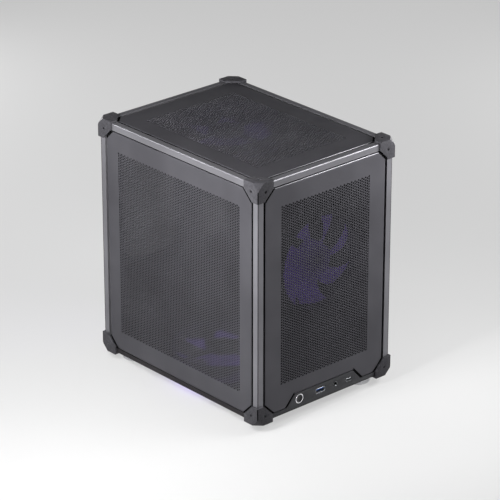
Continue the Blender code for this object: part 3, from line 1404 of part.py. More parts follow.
def make_slot_covers():
    """Bent slot covers whose ears rest on the ledge, each held by a thumb screw."""
    ear_outer = SLOT_LEDGE_X - SEAT_GAP - SLOT_COVER_SHEET
    ear_end = REAR_PANEL_OUTER_Y + SLOT_LEDGE_DEPTH - SEAT_GAP
    right = SLOT_RIGHT_X + SLOT_COVER_OVERLAP
    outer_y = REAR_PANEL_INNER_Y - SEAT_GAP
    inner_y = outer_y - SLOT_COVER_SHEET
    bent_strip = [
        (ear_outer, inner_y), (right + SLOT_COVER_TAIL, inner_y),
        (right + SLOT_COVER_TAIL, outer_y), (ear_outer + SLOT_COVER_SHEET, outer_y),
        (ear_outer + SLOT_COVER_SHEET, ear_end), (ear_outer, ear_end),
    ]
    half = SLOT_COVER_WIDTH / 2
    for index, height in enumerate(slot_heights(), start=1):
        cover = add_outline(
            f"slot_cover_{index}", [bent_strip], height - half, height + half, (0.0, 0.0, BASE_Z)
        )
        cut(cover, tail_cutter(f"tail_cutter_{index}", right, height, half))
        hole = screw_axis(height, -CUT_OVERRUN - SLOT_COVER_SHEET, CUT_OVERRUN)
        radius = SLOT_SCREW_RADIUS + SEAT_GAP
        cut(cover, add_cylinder(f"ear_hole_{index}", radius, *hole, ROUND_SMALL))
        finish(cover, INNER_PAINT)

        head_face = ear_outer - SEAT_GAP - SLOT_LEDGE_X
        screw = add_cylinder(
            f"slot_screw_{index}", SLOT_SCREW_HEAD_RADIUS,
            *screw_axis(height, head_face - SLOT_SCREW_HEAD_HEIGHT, head_face), ROUND_MEDIUM,
        )
        shank = add_cylinder(
            f"slot_shank_{index}", SLOT_SCREW_RADIUS,
            *screw_axis(height, head_face - SLOT_SCREW_HEAD_HEIGHT / 2, 2 * SHEET), ROUND_SMALL,
        )
        join(screw, shank)
        finish(screw, SCREW_STEEL)


def make_supply_shelf():
    """Folded shelf on the rear panel that the power supply stands on."""
    left = SUPPLY_LEFT_X
    rear = REAR_PANEL_INNER_Y - SEAT_GAP
    plate_rear = rear - SUPPLY_RIM_RISE
    top = BASE_Z + SUPPLY_BASE_HEIGHT - SEAT_GAP
    flange_low = top - SHELF_FLANGE
    shelf = add_box(
        "psu_shelf", (left, rear - SHELF_DEPTH, top - SHEET),
        (left + SHELF_WIDTH, plate_rear, top),
    )
    flange = add_box(
        "shelf_flange", (left, rear - SHEET, flange_low), (left + SHELF_WIDTH, rear, top - SHEET / 2)
    )
    lip = add_box(
        "shelf_lip", (left, rear - SHELF_DEPTH, flange_low),
        (left + SHELF_WIDTH, rear - SHELF_DEPTH + SHEET, top - SHEET / 2),
    )
    join(shelf, flange, lip)
    finish(shelf, INNER_PAINT)


def main():
    """Build every piece of the case."""
    pin_holes = make_pin_holes()
    make_posts(pin_holes)
    make_top_frame(pin_holes)
    make_base_pan()
    make_protectors()
    make_panels()
    make_fans()
    make_front_bracket()
    make_feet()
    make_port_bar()
    make_port_board()
    make_usb_a()
    make_usb_c()
    make_audio_jack()
    make_power_button()
    make_board_tray()
    make_rear_panel()
    make_slot_covers()
    make_supply_shelf()


main()
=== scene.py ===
# %% [markdown]
# # A small perforated computer case
# The case is a cage of square rails. Eight moulded protectors cap its corners, four perforated
# panels push into its faces, and a port bar sits at the foot of the front. Violet fans glow inside.
# The solids come first: they were packed as a frame of named nodes and moving bodies. Every piece
# made here rides on one of those bodies, so nothing has to be fitted by eye.

# %% Load the frame
import math

import bmesh
import bpy
from mathutils import Matrix, Vector, geometry, noise


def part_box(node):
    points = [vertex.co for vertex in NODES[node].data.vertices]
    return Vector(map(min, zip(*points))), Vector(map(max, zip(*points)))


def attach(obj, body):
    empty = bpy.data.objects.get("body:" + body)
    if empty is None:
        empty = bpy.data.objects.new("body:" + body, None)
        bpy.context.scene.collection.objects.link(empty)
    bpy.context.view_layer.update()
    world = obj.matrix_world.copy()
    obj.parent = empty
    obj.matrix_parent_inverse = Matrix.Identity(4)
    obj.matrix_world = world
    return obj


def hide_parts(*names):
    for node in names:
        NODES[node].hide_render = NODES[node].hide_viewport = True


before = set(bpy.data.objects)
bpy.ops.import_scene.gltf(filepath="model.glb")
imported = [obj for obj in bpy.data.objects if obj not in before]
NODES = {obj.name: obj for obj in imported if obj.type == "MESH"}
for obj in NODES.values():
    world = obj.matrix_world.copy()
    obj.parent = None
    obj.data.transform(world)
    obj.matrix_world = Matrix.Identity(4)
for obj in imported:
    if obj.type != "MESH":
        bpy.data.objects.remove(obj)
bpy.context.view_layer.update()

# %% [markdown]
# ## The camera
# The photograph was taken with a long lens from the front left and above. Straight edges of the
# cage were matched to the picture, which gives the place of the camera and its three axes. A
# camera looks along its own -Z, so its matrix has the right, up and back directions as columns.

# %% Camera
CAMERA_PLACE = Vector((-2.0005, -2.2392, 1.4863))
CAMERA_BACK = Vector((-0.6102, -0.6805, 0.4056)).normalized()
CAMERA_RIGHT = Vector((0.7445, -0.6676, 0.0)).normalized()
CAMERA_UP = CAMERA_BACK.cross(CAMERA_RIGHT).normalized()
LENS = 203.25

camera_data = bpy.data.cameras.new("photo_camera")
camera_data.lens = LENS
camera_data.sensor_width = 36.0
camera_data.clip_end = 100.0
camera = bpy.data.objects.new("photo_camera", camera_data)
turn = Matrix((CAMERA_RIGHT, CAMERA_UP, CAMERA_BACK)).transposed().to_4x4()
camera.matrix_world = Matrix.Translation(CAMERA_PLACE) @ turn
bpy.context.scene.collection.objects.link(camera)
bpy.context.scene.camera = camera
print("camera is", round(CAMERA_PLACE.length, 3), "m from the origin")

# %% [markdown]
# ## The studio
# A pale floor that curves up into a backdrop, a dim world and six soft lamps. Dark painted
# metal shows mostly what it reflects, so soft lamps draw the bright lines along the rails.

# %% View settings and world
scene = bpy.context.scene
scene.view_settings.view_transform = "Standard"
WORLD_LIGHT = 0.08

world = bpy.data.worlds.new("studio")
scene.world = world
world.use_nodes = True
background = world.node_tree.nodes["Background"]
background.inputs["Color"].default_value = (1.0, 1.0, 1.0, 1.0)
background.inputs["Strength"].default_value = WORLD_LIGHT
print("world strength:", WORLD_LIGHT)

# %% [markdown]
# A backdrop is one strip of floor that bends up behind the object. It is drawn as a profile that
# is turned round the origin, so it looks the same from every side.

# %% Floor and backdrop
FLOOR_RADIUS = 7.0
COVE_RADIUS = 3.0
COVE_STEPS = 10
ROUND_STEPS = 96

profile = [(0.2, 0.0), (1.0, 0.0), (3.0, 0.0), (FLOOR_RADIUS, 0.0)]
for step in range(1, COVE_STEPS + 1):
    angle = math.radians(90.0 * step / COVE_STEPS)
    profile.append((
        FLOOR_RADIUS + COVE_RADIUS * math.sin(angle), COVE_RADIUS * (1.0 - math.cos(angle))
    ))
bm = bmesh.new()
rings = []
for radius, height in profile:
    rings.append([
        bm.verts.new((
            radius * math.cos(math.tau * k / ROUND_STEPS),
            radius * math.sin(math.tau * k / ROUND_STEPS), height,
        ))
        for k in range(ROUND_STEPS)
    ])
bm.faces.new(rings[0])
for lower, upper in zip(rings, rings[1:]):
    for k in range(ROUND_STEPS):
        after = (k + 1) % ROUND_STEPS
        bm.faces.new((lower[k], upper[k], upper[after], lower[after]))
floor_mesh = bpy.data.meshes.new("studio_floor")
bm.to_mesh(floor_mesh)
bm.free()
for face in floor_mesh.polygons:
    face.use_smooth = True
studio_floor = bpy.data.objects.new("studio_floor", floor_mesh)
scene.collection.objects.link(studio_floor)

# %% [markdown]
# The backdrop is plain paper. The camera, mirrors and glass see it pale, and for the light that
# it throws back at the case it is darker, so that a pale floor doesn't wash out the dark paint.

# %% Backdrop paper
PAPER_TONE = (0.20, 0.30)
PAPER_LIFT = (0.0, 0.50)

floor_paper = bpy.data.materials.new("backdrop_paper")
floor_paper.use_nodes = True
tree = floor_paper.node_tree
shader = tree.nodes["Principled BSDF"]
shader.inputs["Roughness"].default_value = 0.85
shader.inputs["Specular IOR Level"].default_value = 0.1
shader.inputs["Emission Color"].default_value = (1.0, 1.0, 1.0, 1.0)
paths = tree.nodes.new("ShaderNodeLightPath")
seen = paths.outputs["Is Camera Ray"]
for ray in ("Is Transmission Ray", "Is Glossy Ray"):
    either = tree.nodes.new("ShaderNodeMath")
    either.operation = "MAXIMUM"
    tree.links.new(seen, either.inputs[0])
    tree.links.new(paths.outputs[ray], either.inputs[1])
    seen = either.outputs["Value"]
for socket, (low, high) in (("Base Color", PAPER_TONE), ("Emission Strength", PAPER_LIFT)):
    span = tree.nodes.new("ShaderNodeMapRange")
    span.inputs["To Min"].default_value = low
    span.inputs["To Max"].default_value = high
    tree.links.new(seen, span.inputs["Value"])
    tree.links.new(span.outputs["Result"], shader.inputs[socket])
floor_mesh.materials.append(floor_paper)
print("floor faces:", len(floor_mesh.polygons))

# %% [markdown]
# Each lamp is a soft rectangle that looks at the case. The left and the right box stand close by
# and above its top, so each face is lightest at its top and fades towards its foot. They graze the
# top face, which stays darker than the sides. The left box stands beside the left side and hardly
# reaches past the plane of the front, so the front stays darker too. The right box and the edge
# lamp behind the left side stand where the rounded upper edges of the rails mirror them to the
# camera, which draws the thin bright lines. Two low boxes light the two sides that the photograph
# doesn't show. The wide lamp overhead only gives the floor its soft shadow. A lamp's row holds its
# place, its size and its power in watts.

# %% Lamps
AIM = Vector((0.0, 0.0, 0.16))
LAMPS = {
    "left_softbox": ((-0.50, -0.12, 0.46), (0.14, 0.22), 4.7),
    "right_softbox": ((0.24, -0.35, 0.36), (0.32, 0.12), 1.8),
    "left_edge_lamp": ((-0.90, 0.78, 0.47), (0.30, 0.14), 2.2),
    "rear_softbox": ((0.10, 1.30, 0.24), (0.4, 0.3), 3.5),
    "far_side_softbox": ((1.30, 0.10, 0.24), (0.4, 0.3), 3.5),
    "floor_light": ((-0.3, -0.3, 3.2), (2.4, 2.4), 3.5),
}


def add_lamp(name, place, size, power):
    """One soft rectangular lamp at a place, turned to the case."""
    data = bpy.data.lights.new(name, "AREA")
    data.shape = "RECTANGLE"
    data.size, data.size_y = size
    data.energy = power
    lamp = bpy.data.objects.new(name, data)
    lamp.location = place
    lamp.rotation_euler = (Vector(place) - AIM).to_track_quat("Z", "Y").to_euler()
    scene.collection.objects.link(lamp)


for name, (place, size, power) in LAMPS.items():
    add_lamp(name, place, size, power)
print("lamps:", len(LAMPS))

# %% [markdown]
# ## Finishes
# Every finish is made of nodes, with coordinates in metres, so a grain of 0.6 mm stays 0.6 mm on
# every piece. Two helpers do most of the work: one reads a noise texture at a scale, the other
# turns it into a number between two limits. What is the same all over a finish is set on the
# shader's own sockets.

# %% Helpers for finishes
def start_finish(name, roughness=0.5, metallic=0.0):
    """A new material with its node tree and its shader."""
    finish = bpy.data.materials.new(name)
    finish.use_nodes = True
    tree = finish.node_tree
    shader = tree.nodes["Principled BSDF"]
    shader.inputs["Roughness"].default_value = roughness
    shader.inputs["Metallic"].default_value = metallic
    return finish, tree, shader


def grain(tree, scale, detail=2.0, stretch=(1.0, 1.0, 1.0)):
    """A noise texture in object space. Its scale is in waves per metre."""
    place = tree.nodes.new("ShaderNodeTexCoord")
    mapping = tree.nodes.new("ShaderNodeMapping")
    mapping.inputs["Scale"].default_value = stretch
    texture = tree.nodes.new("ShaderNodeTexNoise")
    texture.inputs["Scale"].default_value = scale
    texture.inputs["Detail"].default_value = detail
    tree.links.new(place.outputs["Object"], mapping.inputs["Vector"])
    tree.links.new(mapping.outputs["Vector"], texture.inputs["Vector"])
    return texture.outputs["Fac"]


def between(tree, factor, low, high):
    """The factor from 0.3 to 0.7, where noise mostly lies, stretched to low and high."""
    span = tree.nodes.new("ShaderNodeMapRange")
    span.inputs["From Min"].default_value = 0.3
    span.inputs["From Max"].default_value = 0.7
    span.inputs["To Min"].default_value = low
    span.inputs["To Max"].default_value = high
    tree.links.new(factor, span.inputs["Value"])
    return span.outputs["Result"]


def tones(tree, factor, low, high):
    """A colour that runs from low to high with the factor."""
    ramp = tree.nodes.new("ShaderNodeValToRGB")
    ramp.color_ramp.elements[0].position = 0.32
    ramp.color_ramp.elements[0].color = (*low, 1.0)
    ramp.color_ramp.elements[1].position = 0.68
    ramp.color_ramp.elements[1].color = (*high, 1.0)
    tree.links.new(factor, ramp.inputs["Fac"])
    return ramp.outputs["Color"]


def add_bump(tree, shader, height, strength, distance):
    """Small relief from a height, in metres, on top of any relief that is there."""
    bump = tree.nodes.new("ShaderNodeBump")
    bump.inputs["Strength"].default_value = strength
    bump.inputs["Distance"].default_value = distance
    if shader.inputs["Normal"].is_linked:
        tree.links.new(shader.inputs["Normal"].links[0].from_socket, bump.inputs["Normal"])
    tree.links.new(height, bump.inputs["Height"])
    tree.links.new(bump.outputs["Normal"], shader.inputs["Normal"])


FINISHES = {}

# %% [markdown]
# ### Powder coat
# The sheet metal is powder coated: a baked paint with a faint orange-peel relief and a soft sheen.
# Large, weak clouds in the tone keep a wide face from looking printed. One recipe serves the outer
# panels, the cage and the darker sheets inside. The edge value tints the gloss that any surface has
# at a grazing angle: it is low, or the top face would mirror the pale backdrop. The paler fold
# paint is a painted highlight, and it goes only on a few folds, which the photograph shows as thin
# bright lines.

# %% Powder coat
def powder_coat(name, low, high, roughness, metallic=0.5, peel=0.25, edge=0.3):
    """Painted sheet metal with clouds in its tone and a fine relief. Matt paint has a low edge."""
    finish, tree, shader = start_finish(name, metallic=metallic)
    tree.links.new(tones(tree, grain(tree, 16.0), low, high), shader.inputs["Base Color"])
    sheen = between(tree, grain(tree, 55.0), roughness - 0.04, roughness + 0.05)
    tree.links.new(sheen, shader.inputs["Roughness"])
    shader.inputs["Specular IOR Level"].default_value = 0.3
    shader.inputs["Specular Tint"].default_value = (edge, edge, edge, 1.0)
    add_bump(tree, shader, grain(tree, 900.0, 1.0), peel, 0.00012)
    add_bump(tree, shader, grain(tree, 2600.0, 1.0), peel * 0.6, 0.00006)
    FINISHES[name] = finish


powder_coat("panel_paint", (0.080, 0.078, 0.088), (0.100, 0.098, 0.110), 0.42, 0.35)
powder_coat("cage_paint", (0.190, 0.187, 0.203), (0.235, 0.232, 0.252), 0.33, 0.45, 0.15, 0.4)
# The paler fold paint is a painted highlight for a few folds.
powder_coat("fold_highlight_paint", (0.300, 0.296, 0.320), (0.360, 0.356, 0.384), 0.40, 0.8, 0.10, 0.6)
powder_coat("base_paint", (0.026, 0.024, 0.026), (0.040, 0.037, 0.040), 0.46, 0.3)
powder_coat("inner_paint", (0.030, 0.030, 0.033), (0.046, 0.046, 0.050), 0.50, 0.3)

# %% [markdown]
# ### Moulded plastic
# The protectors are moulded with a coarse spark-eroded texture: the photograph shows it as
# mottling on their walls. The port bar is smoother. Both are the same recipe with another grain.
# The matt shadow black is painted shade: it goes on the strips and faces put in the gaps and
# grooves, where there is only shade, so that they read as black lines.

# %% Moulded plastic
def moulded_plastic(name, low, high, roughness, texture_scale, relief, gloss=0.45):
    """Plastic with the texture of its mould."""
    finish, tree, shader = start_finish(name)
    mottle = grain(tree, texture_scale, 3.0)
    tree.links.new(tones(tree, mottle, low, high), shader.inputs["Base Color"])
    sheen = between(tree, grain(tree, texture_scale * 0.4), roughness - 0.08, roughness + 0.08)
    tree.links.new(sheen, shader.inputs["Roughness"])
    shader.inputs["Specular IOR Level"].default_value = gloss
    shader.inputs["Specular Tint"].default_value = (gloss, gloss, gloss, 1.0)
    add_bump(tree, shader, mottle, 0.5, relief)
    FINISHES[name] = finish


moulded_plastic(
    "protector_plastic", (0.050, 0.049, 0.055), (0.080, 0.078, 0.087), 0.44, 520.0, 0.00009, 0.2
)
moulded_plastic(
    "shadow_black", (0.003, 0.003, 0.003), (0.006, 0.006, 0.006), 0.85, 900.0, 0.00004, 0.03
)
moulded_plastic("bar_plastic", (0.040, 0.040, 0.044), (0.056, 0.056, 0.061), 0.48, 1500.0, 0.00008)
moulded_plastic("port_black", (0.010, 0.010, 0.011), (0.022, 0.022, 0.024), 0.40, 1800.0, 0.00005)
moulded_plastic("port_blue", (0.020, 0.105, 0.44), (0.035, 0.150, 0.56), 0.36, 1800.0, 0.00004)
moulded_plastic(
    "button_plastic", (0.014, 0.014, 0.016), (0.026, 0.026, 0.029), 0.30, 1500.0, 0.00004
)
moulded_plastic("fan_plastic", (0.018, 0.018, 0.021), (0.034, 0.034, 0.038), 0.42, 1100.0, 0.00006)

# %% [markdown]
# ### Metal
# Plain metals differ in their tone, their roughness and the direction of their marks: turned
# feet carry fine rings, folded port shells are nearly plain, and screws are blackened steel.

# %% Metal
def bare_metal(name, low, high, roughness, scale, stretch=(1.0, 1.0, 1.0), relief=0.00003):
    """Metal with marks at a scale, stretched along an axis where it was worked."""
    finish, tree, shader = start_finish(name, metallic=1.0)
    marks = grain(tree, scale, 4.0, stretch)
    tree.links.new(tones(tree, marks, low, high), shader.inputs["Base Color"])
    sheen = between(tree, marks, roughness - 0.06, roughness + 0.1)
    tree.links.new(sheen, shader.inputs["Roughness"])
    add_bump(tree, shader, marks, 0.3, relief)
    FINISHES[name] = finish


bare_metal("port_steel", (0.26, 0.27, 0.29), (0.38, 0.39, 0.41), 0.34, 900.0)
bare_metal("ring_chrome", (0.74, 0.74, 0.77), (0.86, 0.86, 0.89), 0.14, 700.0)
bare_metal("foot_silver", (0.50, 0.50, 0.52), (0.64, 0.64, 0.66), 0.30, 500.0, (1.0, 1.0, 14.0))
bare_metal("screw_steel", (0.060, 0.060, 0.066), (0.110, 0.110, 0.118), 0.34, 900.0)
bare_metal("contact_gold", (0.70, 0.48, 0.16), (0.82, 0.58, 0.22), 0.22, 900.0)

# %% [markdown]
# ### Rubber, laminate and glowing plastic
# The pads are matt rubber. The port board is green laminate with a faint glass weave. The rotors
# are cloudy plastic lit from the hub, so they give off a violet light of their own. How much is
# read from a value named glow, which is stored on the points of their meshes further down.

# %% Rubber, laminate and glowing plastic
GLOW_STRENGTH = 17.0

rubber, tree, shader = start_finish("pad_rubber")
shader.inputs["Specular IOR Level"].default_value = 0.25
tree.links.new(
    tones(tree, grain(tree, 700.0), (0.012, 0.012, 0.012), (0.026, 0.026, 0.026)),
    shader.inputs["Base Color"],
)
tree.links.new(between(tree, grain(tree, 300.0), 0.78, 0.92), shader.inputs["Roughness"])
add_bump(tree, shader, grain(tree, 1400.0), 0.5, 0.0001)
FINISHES["pad_rubber"] = rubber

laminate, tree, shader = start_finish("board_laminate")
weave = grain(tree, 900.0, 0.0, (1.0, 0.15, 1.0))
tree.links.new(
    tones(tree, weave, (0.006, 0.030, 0.014), (0.012, 0.050, 0.024)), shader.inputs["Base Color"]
)
tree.links.new(between(tree, weave, 0.36, 0.46), shader.inputs["Roughness"])
add_bump(tree, shader, weave, 0.25, 0.00004)
FINISHES["board_laminate"] = laminate

glow, tree, shader = start_finish("rotor_plastic")
cloud = grain(tree, 60.0)
tree.links.new(
    tones(tree, cloud, (0.16, 0.13, 0.26), (0.24, 0.20, 0.36)), shader.inputs["Base Color"]
)
tree.links.new(between(tree, cloud, 0.30, 0.42), shader.inputs["Roughness"])
reach = tree.nodes.new("ShaderNodeAttribute")
reach.attribute_name = "glow"
light = tree.nodes.new("ShaderNodeValToRGB")
light.color_ramp.elements[0].color = (0.004, 0.002, 0.012, 1.0)
light.color_ramp.elements[1].color = (0.16, 0.09, 0.46, 1.0)
tree.links.new(reach.outputs["Fac"], light.inputs["Fac"])
tree.links.new(light.outputs["Color"], shader.inputs["Emission Color"])
shader.inputs["Emission Strength"].default_value = GLOW_STRENGTH
FINISHES["rotor_plastic"] = glow

# %% [markdown]
# ### Dust filter and painted shade
# Behind the perforation of such a case lies a fine black cloth that keeps dust out. Its black is
# also painted shade: it darkens what is seen through the holes, as the shade inside the case would,
# and softens the glow of the fans. Its threads are far finer than a pixel, so it is a sheet that
# lets part of the light through, with a weave in its relief. The cloth of the right panel lets no
# light through, as painted shade, so that daylight doesn't show through the case.

# %% Filter cloth and painted shade
CLOTH_COVER = 0.78

cloth, tree, shader = start_finish("filter_and_shade_cloth", roughness=0.8)
threads = grain(tree, 1500.0, 0.0, (1.0, 1.0, 0.2))
tree.links.new(
    tones(tree, threads, (0.004, 0.004, 0.005), (0.012, 0.012, 0.014)), shader.inputs["Base Color"]
)
shader.inputs["Specular IOR Level"].default_value = 0.1
shader.inputs["Alpha"].default_value = CLOTH_COVER
add_bump(tree, shader, threads, 0.3, 0.00005)
FINISHES["filter_and_shade_cloth"] = cloth
# The right panel's cloth is opaque painted shade.
dense = cloth.copy()
dense.name = "opaque_shade_cloth"
dense.node_tree.nodes["Principled BSDF"].inputs["Alpha"].default_value = 1.0
FINISHES["opaque_shade_cloth"] = dense
print("finishes:", sorted(FINISHES))

# %% [markdown]
# ## Pieces
# A piece is a mesh that rides on a body. It takes the finish of its slot, or a finish named in the
# call, and where it stands for an imported solid, that solid is hidden. This helper does all of it
# in one call.

# %% Make a piece
def add_piece(name, mesh, body, slot, replaces=(), finish=None):
    """Link a mesh as a piece on its body, give it the finish of its slot or the one named, and hide
    the nodes it stands for.
    """
    piece = bpy.data.objects.new(name, mesh)
    scene.collection.objects.link(piece)
    mesh.materials.clear()
    mesh.materials.append(FINISHES[finish or slot])
    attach(piece, body)
    if replaces:
        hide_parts(*replaces)
    return piece

# %% [markdown]
# Meshes are written as plain lists of points and faces. One helper turns the lists into a mesh
# and sets which edges stay sharp, one turns a profile about an axis, as a lathe does, and others
# raise a slab from an outline. make_piece moves such parts to their place and makes a piece.

# %% Mesh helpers
def smooth_by_angle(mesh, degrees):
    """Smooth shading, with edges sharper than the angle kept sharp."""
    bm = bmesh.new()
    bm.from_mesh(mesh)
    limit = math.radians(degrees)
    for face in bm.faces:
        face.smooth = True
    for edge in bm.edges:
        edge.smooth = len(edge.link_faces) == 2 and edge.calc_face_angle(0.0) < limit
    bm.to_mesh(mesh)
    bm.free()


def mesh_of(name, points, faces, degrees):
    """A mesh from points and faces, with doubled points joined and normals facing out."""
    mesh = bpy.data.meshes.new(name)
    mesh.from_pydata([tuple(point) for point in points], [], faces)
    bm = bmesh.new()
    bm.from_mesh(mesh)
    bmesh.ops.remove_doubles(bm, verts=bm.verts, dist=1e-6)
    bmesh.ops.recalc_face_normals(bm, faces=bm.faces)
    bm.to_mesh(mesh)
    bm.free()
    smooth_by_angle(mesh, degrees)
    return mesh


def turned(profile, steps):
    """Points and faces of a closed profile of (radius, height) turned about local Z."""
    points = []
    faces = []
    rows = len(profile)
    for k in range(steps):
        angle = math.tau * k / steps
        points += [
            (radius * math.cos(angle), radius * math.sin(angle), height)
            for radius, height in profile
        ]
    for k in range(steps):
        here = k * rows
        there = (k + 1) % steps * rows
        for i in range(rows):
            j = (i + 1) % rows
            if profile[i][0] < 1e-9 and profile[j][0] < 1e-9:
                continue
            if profile[i][0] < 1e-9:
                faces.append((here + i, there + j, here + j))
            elif profile[j][0] < 1e-9:
                faces.append((here + i, there + i, here + j))
            else:
                faces.append((here + i, there + i, there + j, here + j))
    return points, faces


IN_PLACE = Matrix()


def placed(parts, matrix=IN_PLACE):
    """Several (points, faces) parts as one pair of lists, moved by a matrix."""
    points = []
    faces = []
    for some_points, some_faces in parts:
        base = len(points)
        points += [matrix @ Vector(point) for point in some_points]
        faces += [tuple(base + index for index in face) for face in some_faces]
    return points, faces


def make_piece(name, parts, where, body, slot, replaces=(), finish=None, degrees=35.0):
    """One piece of several parts, put in its place in the case."""
    mesh = mesh_of(name, *placed(parts, where), degrees=degrees)
    return add_piece(name, mesh, body, slot, replaces, finish)


def raised(levels):
    """Points of several (outline, height) levels, all with the same number of points."""
    return [(x, y, height) for outline, height in levels for x, y in outline]


def bands(count, rows, closed=False):
    """Faces between rows of points, and from the last row to the first where it is closed."""
    faces = []
    for row in range(rows if closed else rows - 1):
        near = row * count
        far = (row + 1) % rows * count
        for k in range(count):
            after = (k + 1) % count
            faces.append((near + k, near + after, far + after, far + k))
    return faces


def cap(count, row=0):
    """One face over a row of points. The first row is closed from below."""
    face = tuple(range(row * count, (row + 1) * count))
    return face if row else face[::-1]


def slab(outline, low, high):
    """Points and faces of a flat outline, given counter-clockwise, between two heights."""
    count = len(outline)
    points = raised([(outline, low), (outline, high)])
    return points, [cap(count), cap(count, 1), *bands(count, 2)]


def soft_slab(outline, low, high, edge, steps=2):
    """A slab whose upper rim is rounded by an edge radius."""
    rings = [(0.0, low), (0.0, high - edge)]
    for step in range(1, steps + 1):
        angle = math.radians(90.0 * step / steps)
        rings.append((edge * (1.0 - math.cos(angle)), high - edge * (1.0 - math.sin(angle))))
    points = raised([(inset(outline, distance), height) for distance, height in rings])
    count = len(outline)
    return points, [cap(count), *bands(count, len(rings)), cap(count, len(rings) - 1)]


def inset(outline, distance):
    """An outline drawn counter-clockwise, moved inwards by a distance."""
    moved = []
    count = len(outline)
    for k in range(count):
        before = Vector(outline[k - 1])
        here = Vector(outline[k])
        after = Vector(outline[(k + 1) % count])
        into = (here - before).normalized()
        out = (after - here).normalized()
        normal = Vector((-into.y - out.y, into.x + out.x))
        scale = distance * 2.0 / max(normal.length_squared, 1e-9)
        moved.append(tuple(here + normal * scale))
    return moved


def rounded_rectangle(centre, size, corner, steps=4):
    """Counter-clockwise outline of a rectangle with round corners."""
    cx, cy = centre
    half_x = size[0] / 2 - corner
    half_y = size[1] / 2 - corner
    outline = []
    for quarter, (sx, sy) in enumerate(((1, 1), (-1, 1), (-1, -1), (1, -1))):
        for step in range(steps + 1):
            angle = math.radians(90.0 * (quarter + step / steps))
            outline.append((
                cx + sx * half_x + corner * math.cos(angle),
                cy + sy * half_y + corner * math.sin(angle),
            ))
    return outline


def ring_outline(centre, radius, steps):
    """Counter-clockwise circle."""
    return [
        (
            centre[0] + radius * math.cos(math.tau * k / steps),
            centre[1] + radius * math.sin(math.tau * k / steps),
        )
        for k in range(steps)
    ]


# %% [markdown]
# ### Perforated panels
# A real panel is one sheet of steel, punched with thousands of holes, about 2.3 mm wide on a pitch
# of 3.2 mm, and folded at its edges. A texture with transparency would be light, but it has no
# walls and vanishes when the part is looked at from close up, so every hole is cut here. A
# constrained triangulation fills the sheet between its outline and its holes. Hexagonal holes
# with their flats towards each other need only eight triangles a hole on each face. The same
# helper makes every other plate with holes, such as the flange of a fan.

# %% Perforated sheet
HOLE_PITCH = 0.0032
HOLE_WIDTH = 0.0023
COLUMN_STEP = HOLE_PITCH * math.sqrt(3.0) / 2


def hole_centres(field_centre, field_size):
    """Centres of the holes, in upright columns that are staggered by half a pitch."""
    columns = int(field_size[0] / COLUMN_STEP)
    rows = int(field_size[1] / HOLE_PITCH)
    centres = []
    for column in range(columns):
        lift = HOLE_PITCH / 2 if column % 2 else 0.0
        for row in range(rows - column % 2):
            centres.append((
                field_centre[0] + (column - (columns - 1) / 2) * COLUMN_STEP,
                field_centre[1] + (row - (rows - 1) / 2) * HOLE_PITCH + lift,
            ))
    return centres


def hexagon(centre, reach, turn=0):
    """A hexagonal hole round a centre, turned by some degrees."""
    angles = [math.radians(60 * k + turn) for k in range(6)]
    return [(centre[0] + reach * math.cos(a), centre[1] + reach * math.sin(a)) for a in angles]


def filled_between(outline, holes):
    """Flat points and triangles between an outline and the holes inside it."""
    points = []
    loops = []
    for loop in (outline, *holes):
        loops.append(list(range(len(points), len(points) + len(loop))))
        points += [Vector(point) for point in loop]
    filled = geometry.delaunay_2d_cdt(points, [], loops, 1, 1e-7)
    triangles = [face for face, origin in zip(filled[2], filled[5]) if list(origin) == [0]]
    return filled[0], triangles


def border_edges(triangles):
    """Edges that belong to only one triangle, in that triangle's direction."""
    seen = {}
    for face in triangles:
        for k in range(3):
            edge = (face[k], face[(k + 1) % 3])
            if (edge[1], edge[0]) in seen:
                del seen[(edge[1], edge[0])]
            else:
                seen[edge] = True
    return list(seen)


def pierced(outline, holes, low, high, open_rim=False):
    """A flat plate with holes, between two heights. An open rim has no wall along the outline."""
    flat, triangles = filled_between(outline, holes)
    count = len(flat)
    points = [(p.x, p.y, high) for p in flat] + [(p.x, p.y, low) for p in flat]
    faces = [tuple(face) for face in triangles]
    faces += [tuple(count + index for index in reversed(face)) for face in triangles]
    for a, b in border_edges(triangles):
        if not (open_rim and max(a, b) < len(outline)):
            faces.append((b, a, count + a, count + b))
    return points, faces


# %% [markdown]
# The sheet is then given its thickness, its folds and its return flanges. A press brake leaves a
# small radius at each fold, and that radius is what draws a bright line round a panel in the
# photograph, so it is modelled with three steps. The flat part, the folds and the flanges share
# their points, which makes one closed solid.

# %% Folded panel
SHEET = 0.0007
FOLD_RADIUS = 0.0007
FOLD_STEPS = 3
FLANGE = 0.0065
FIELD_FRAME = 0.004


def folded_panel(outline, field_centre, field_size):
    """Points and faces of a punched panel whose outer face is at height 0."""
    inner = inset(outline, FIELD_FRAME)
    reach = HOLE_WIDTH / math.sqrt(3.0)
    holes = [hexagon(centre, reach) for centre in hole_centres(field_centre, field_size)]
    points, faces = pierced(inner, holes, -SHEET, 0.0, open_rim=True)
    count = len(points) // 2
    corner_count = len(outline)
    rings = [(FOLD_RADIUS, 0.0)]
    for step in range(1, FOLD_STEPS + 1):
        angle = math.radians(90.0 * step / FOLD_STEPS)
        rings.append((
            FOLD_RADIUS * (1.0 - math.sin(angle)), -FOLD_RADIUS * (1.0 - math.cos(angle))
        ))
    rings += [(0.0, -FLANGE), (SHEET, -FLANGE), (SHEET, -SHEET)]
    loops = [list(range(corner_count))]
    for distance, height in rings:
        loops.append(list(range(len(points), len(points) + corner_count)))
        points += [(x, y, height) for x, y in inset(outline, distance)]
    loops.append([count + index for index in range(corner_count)])
    for near, far in zip(loops, loops[1:]):
        for k in range(corner_count):
            after = (k + 1) % corner_count
            faces.append((near[k], far[k], far[after], near[after]))
    return points, faces
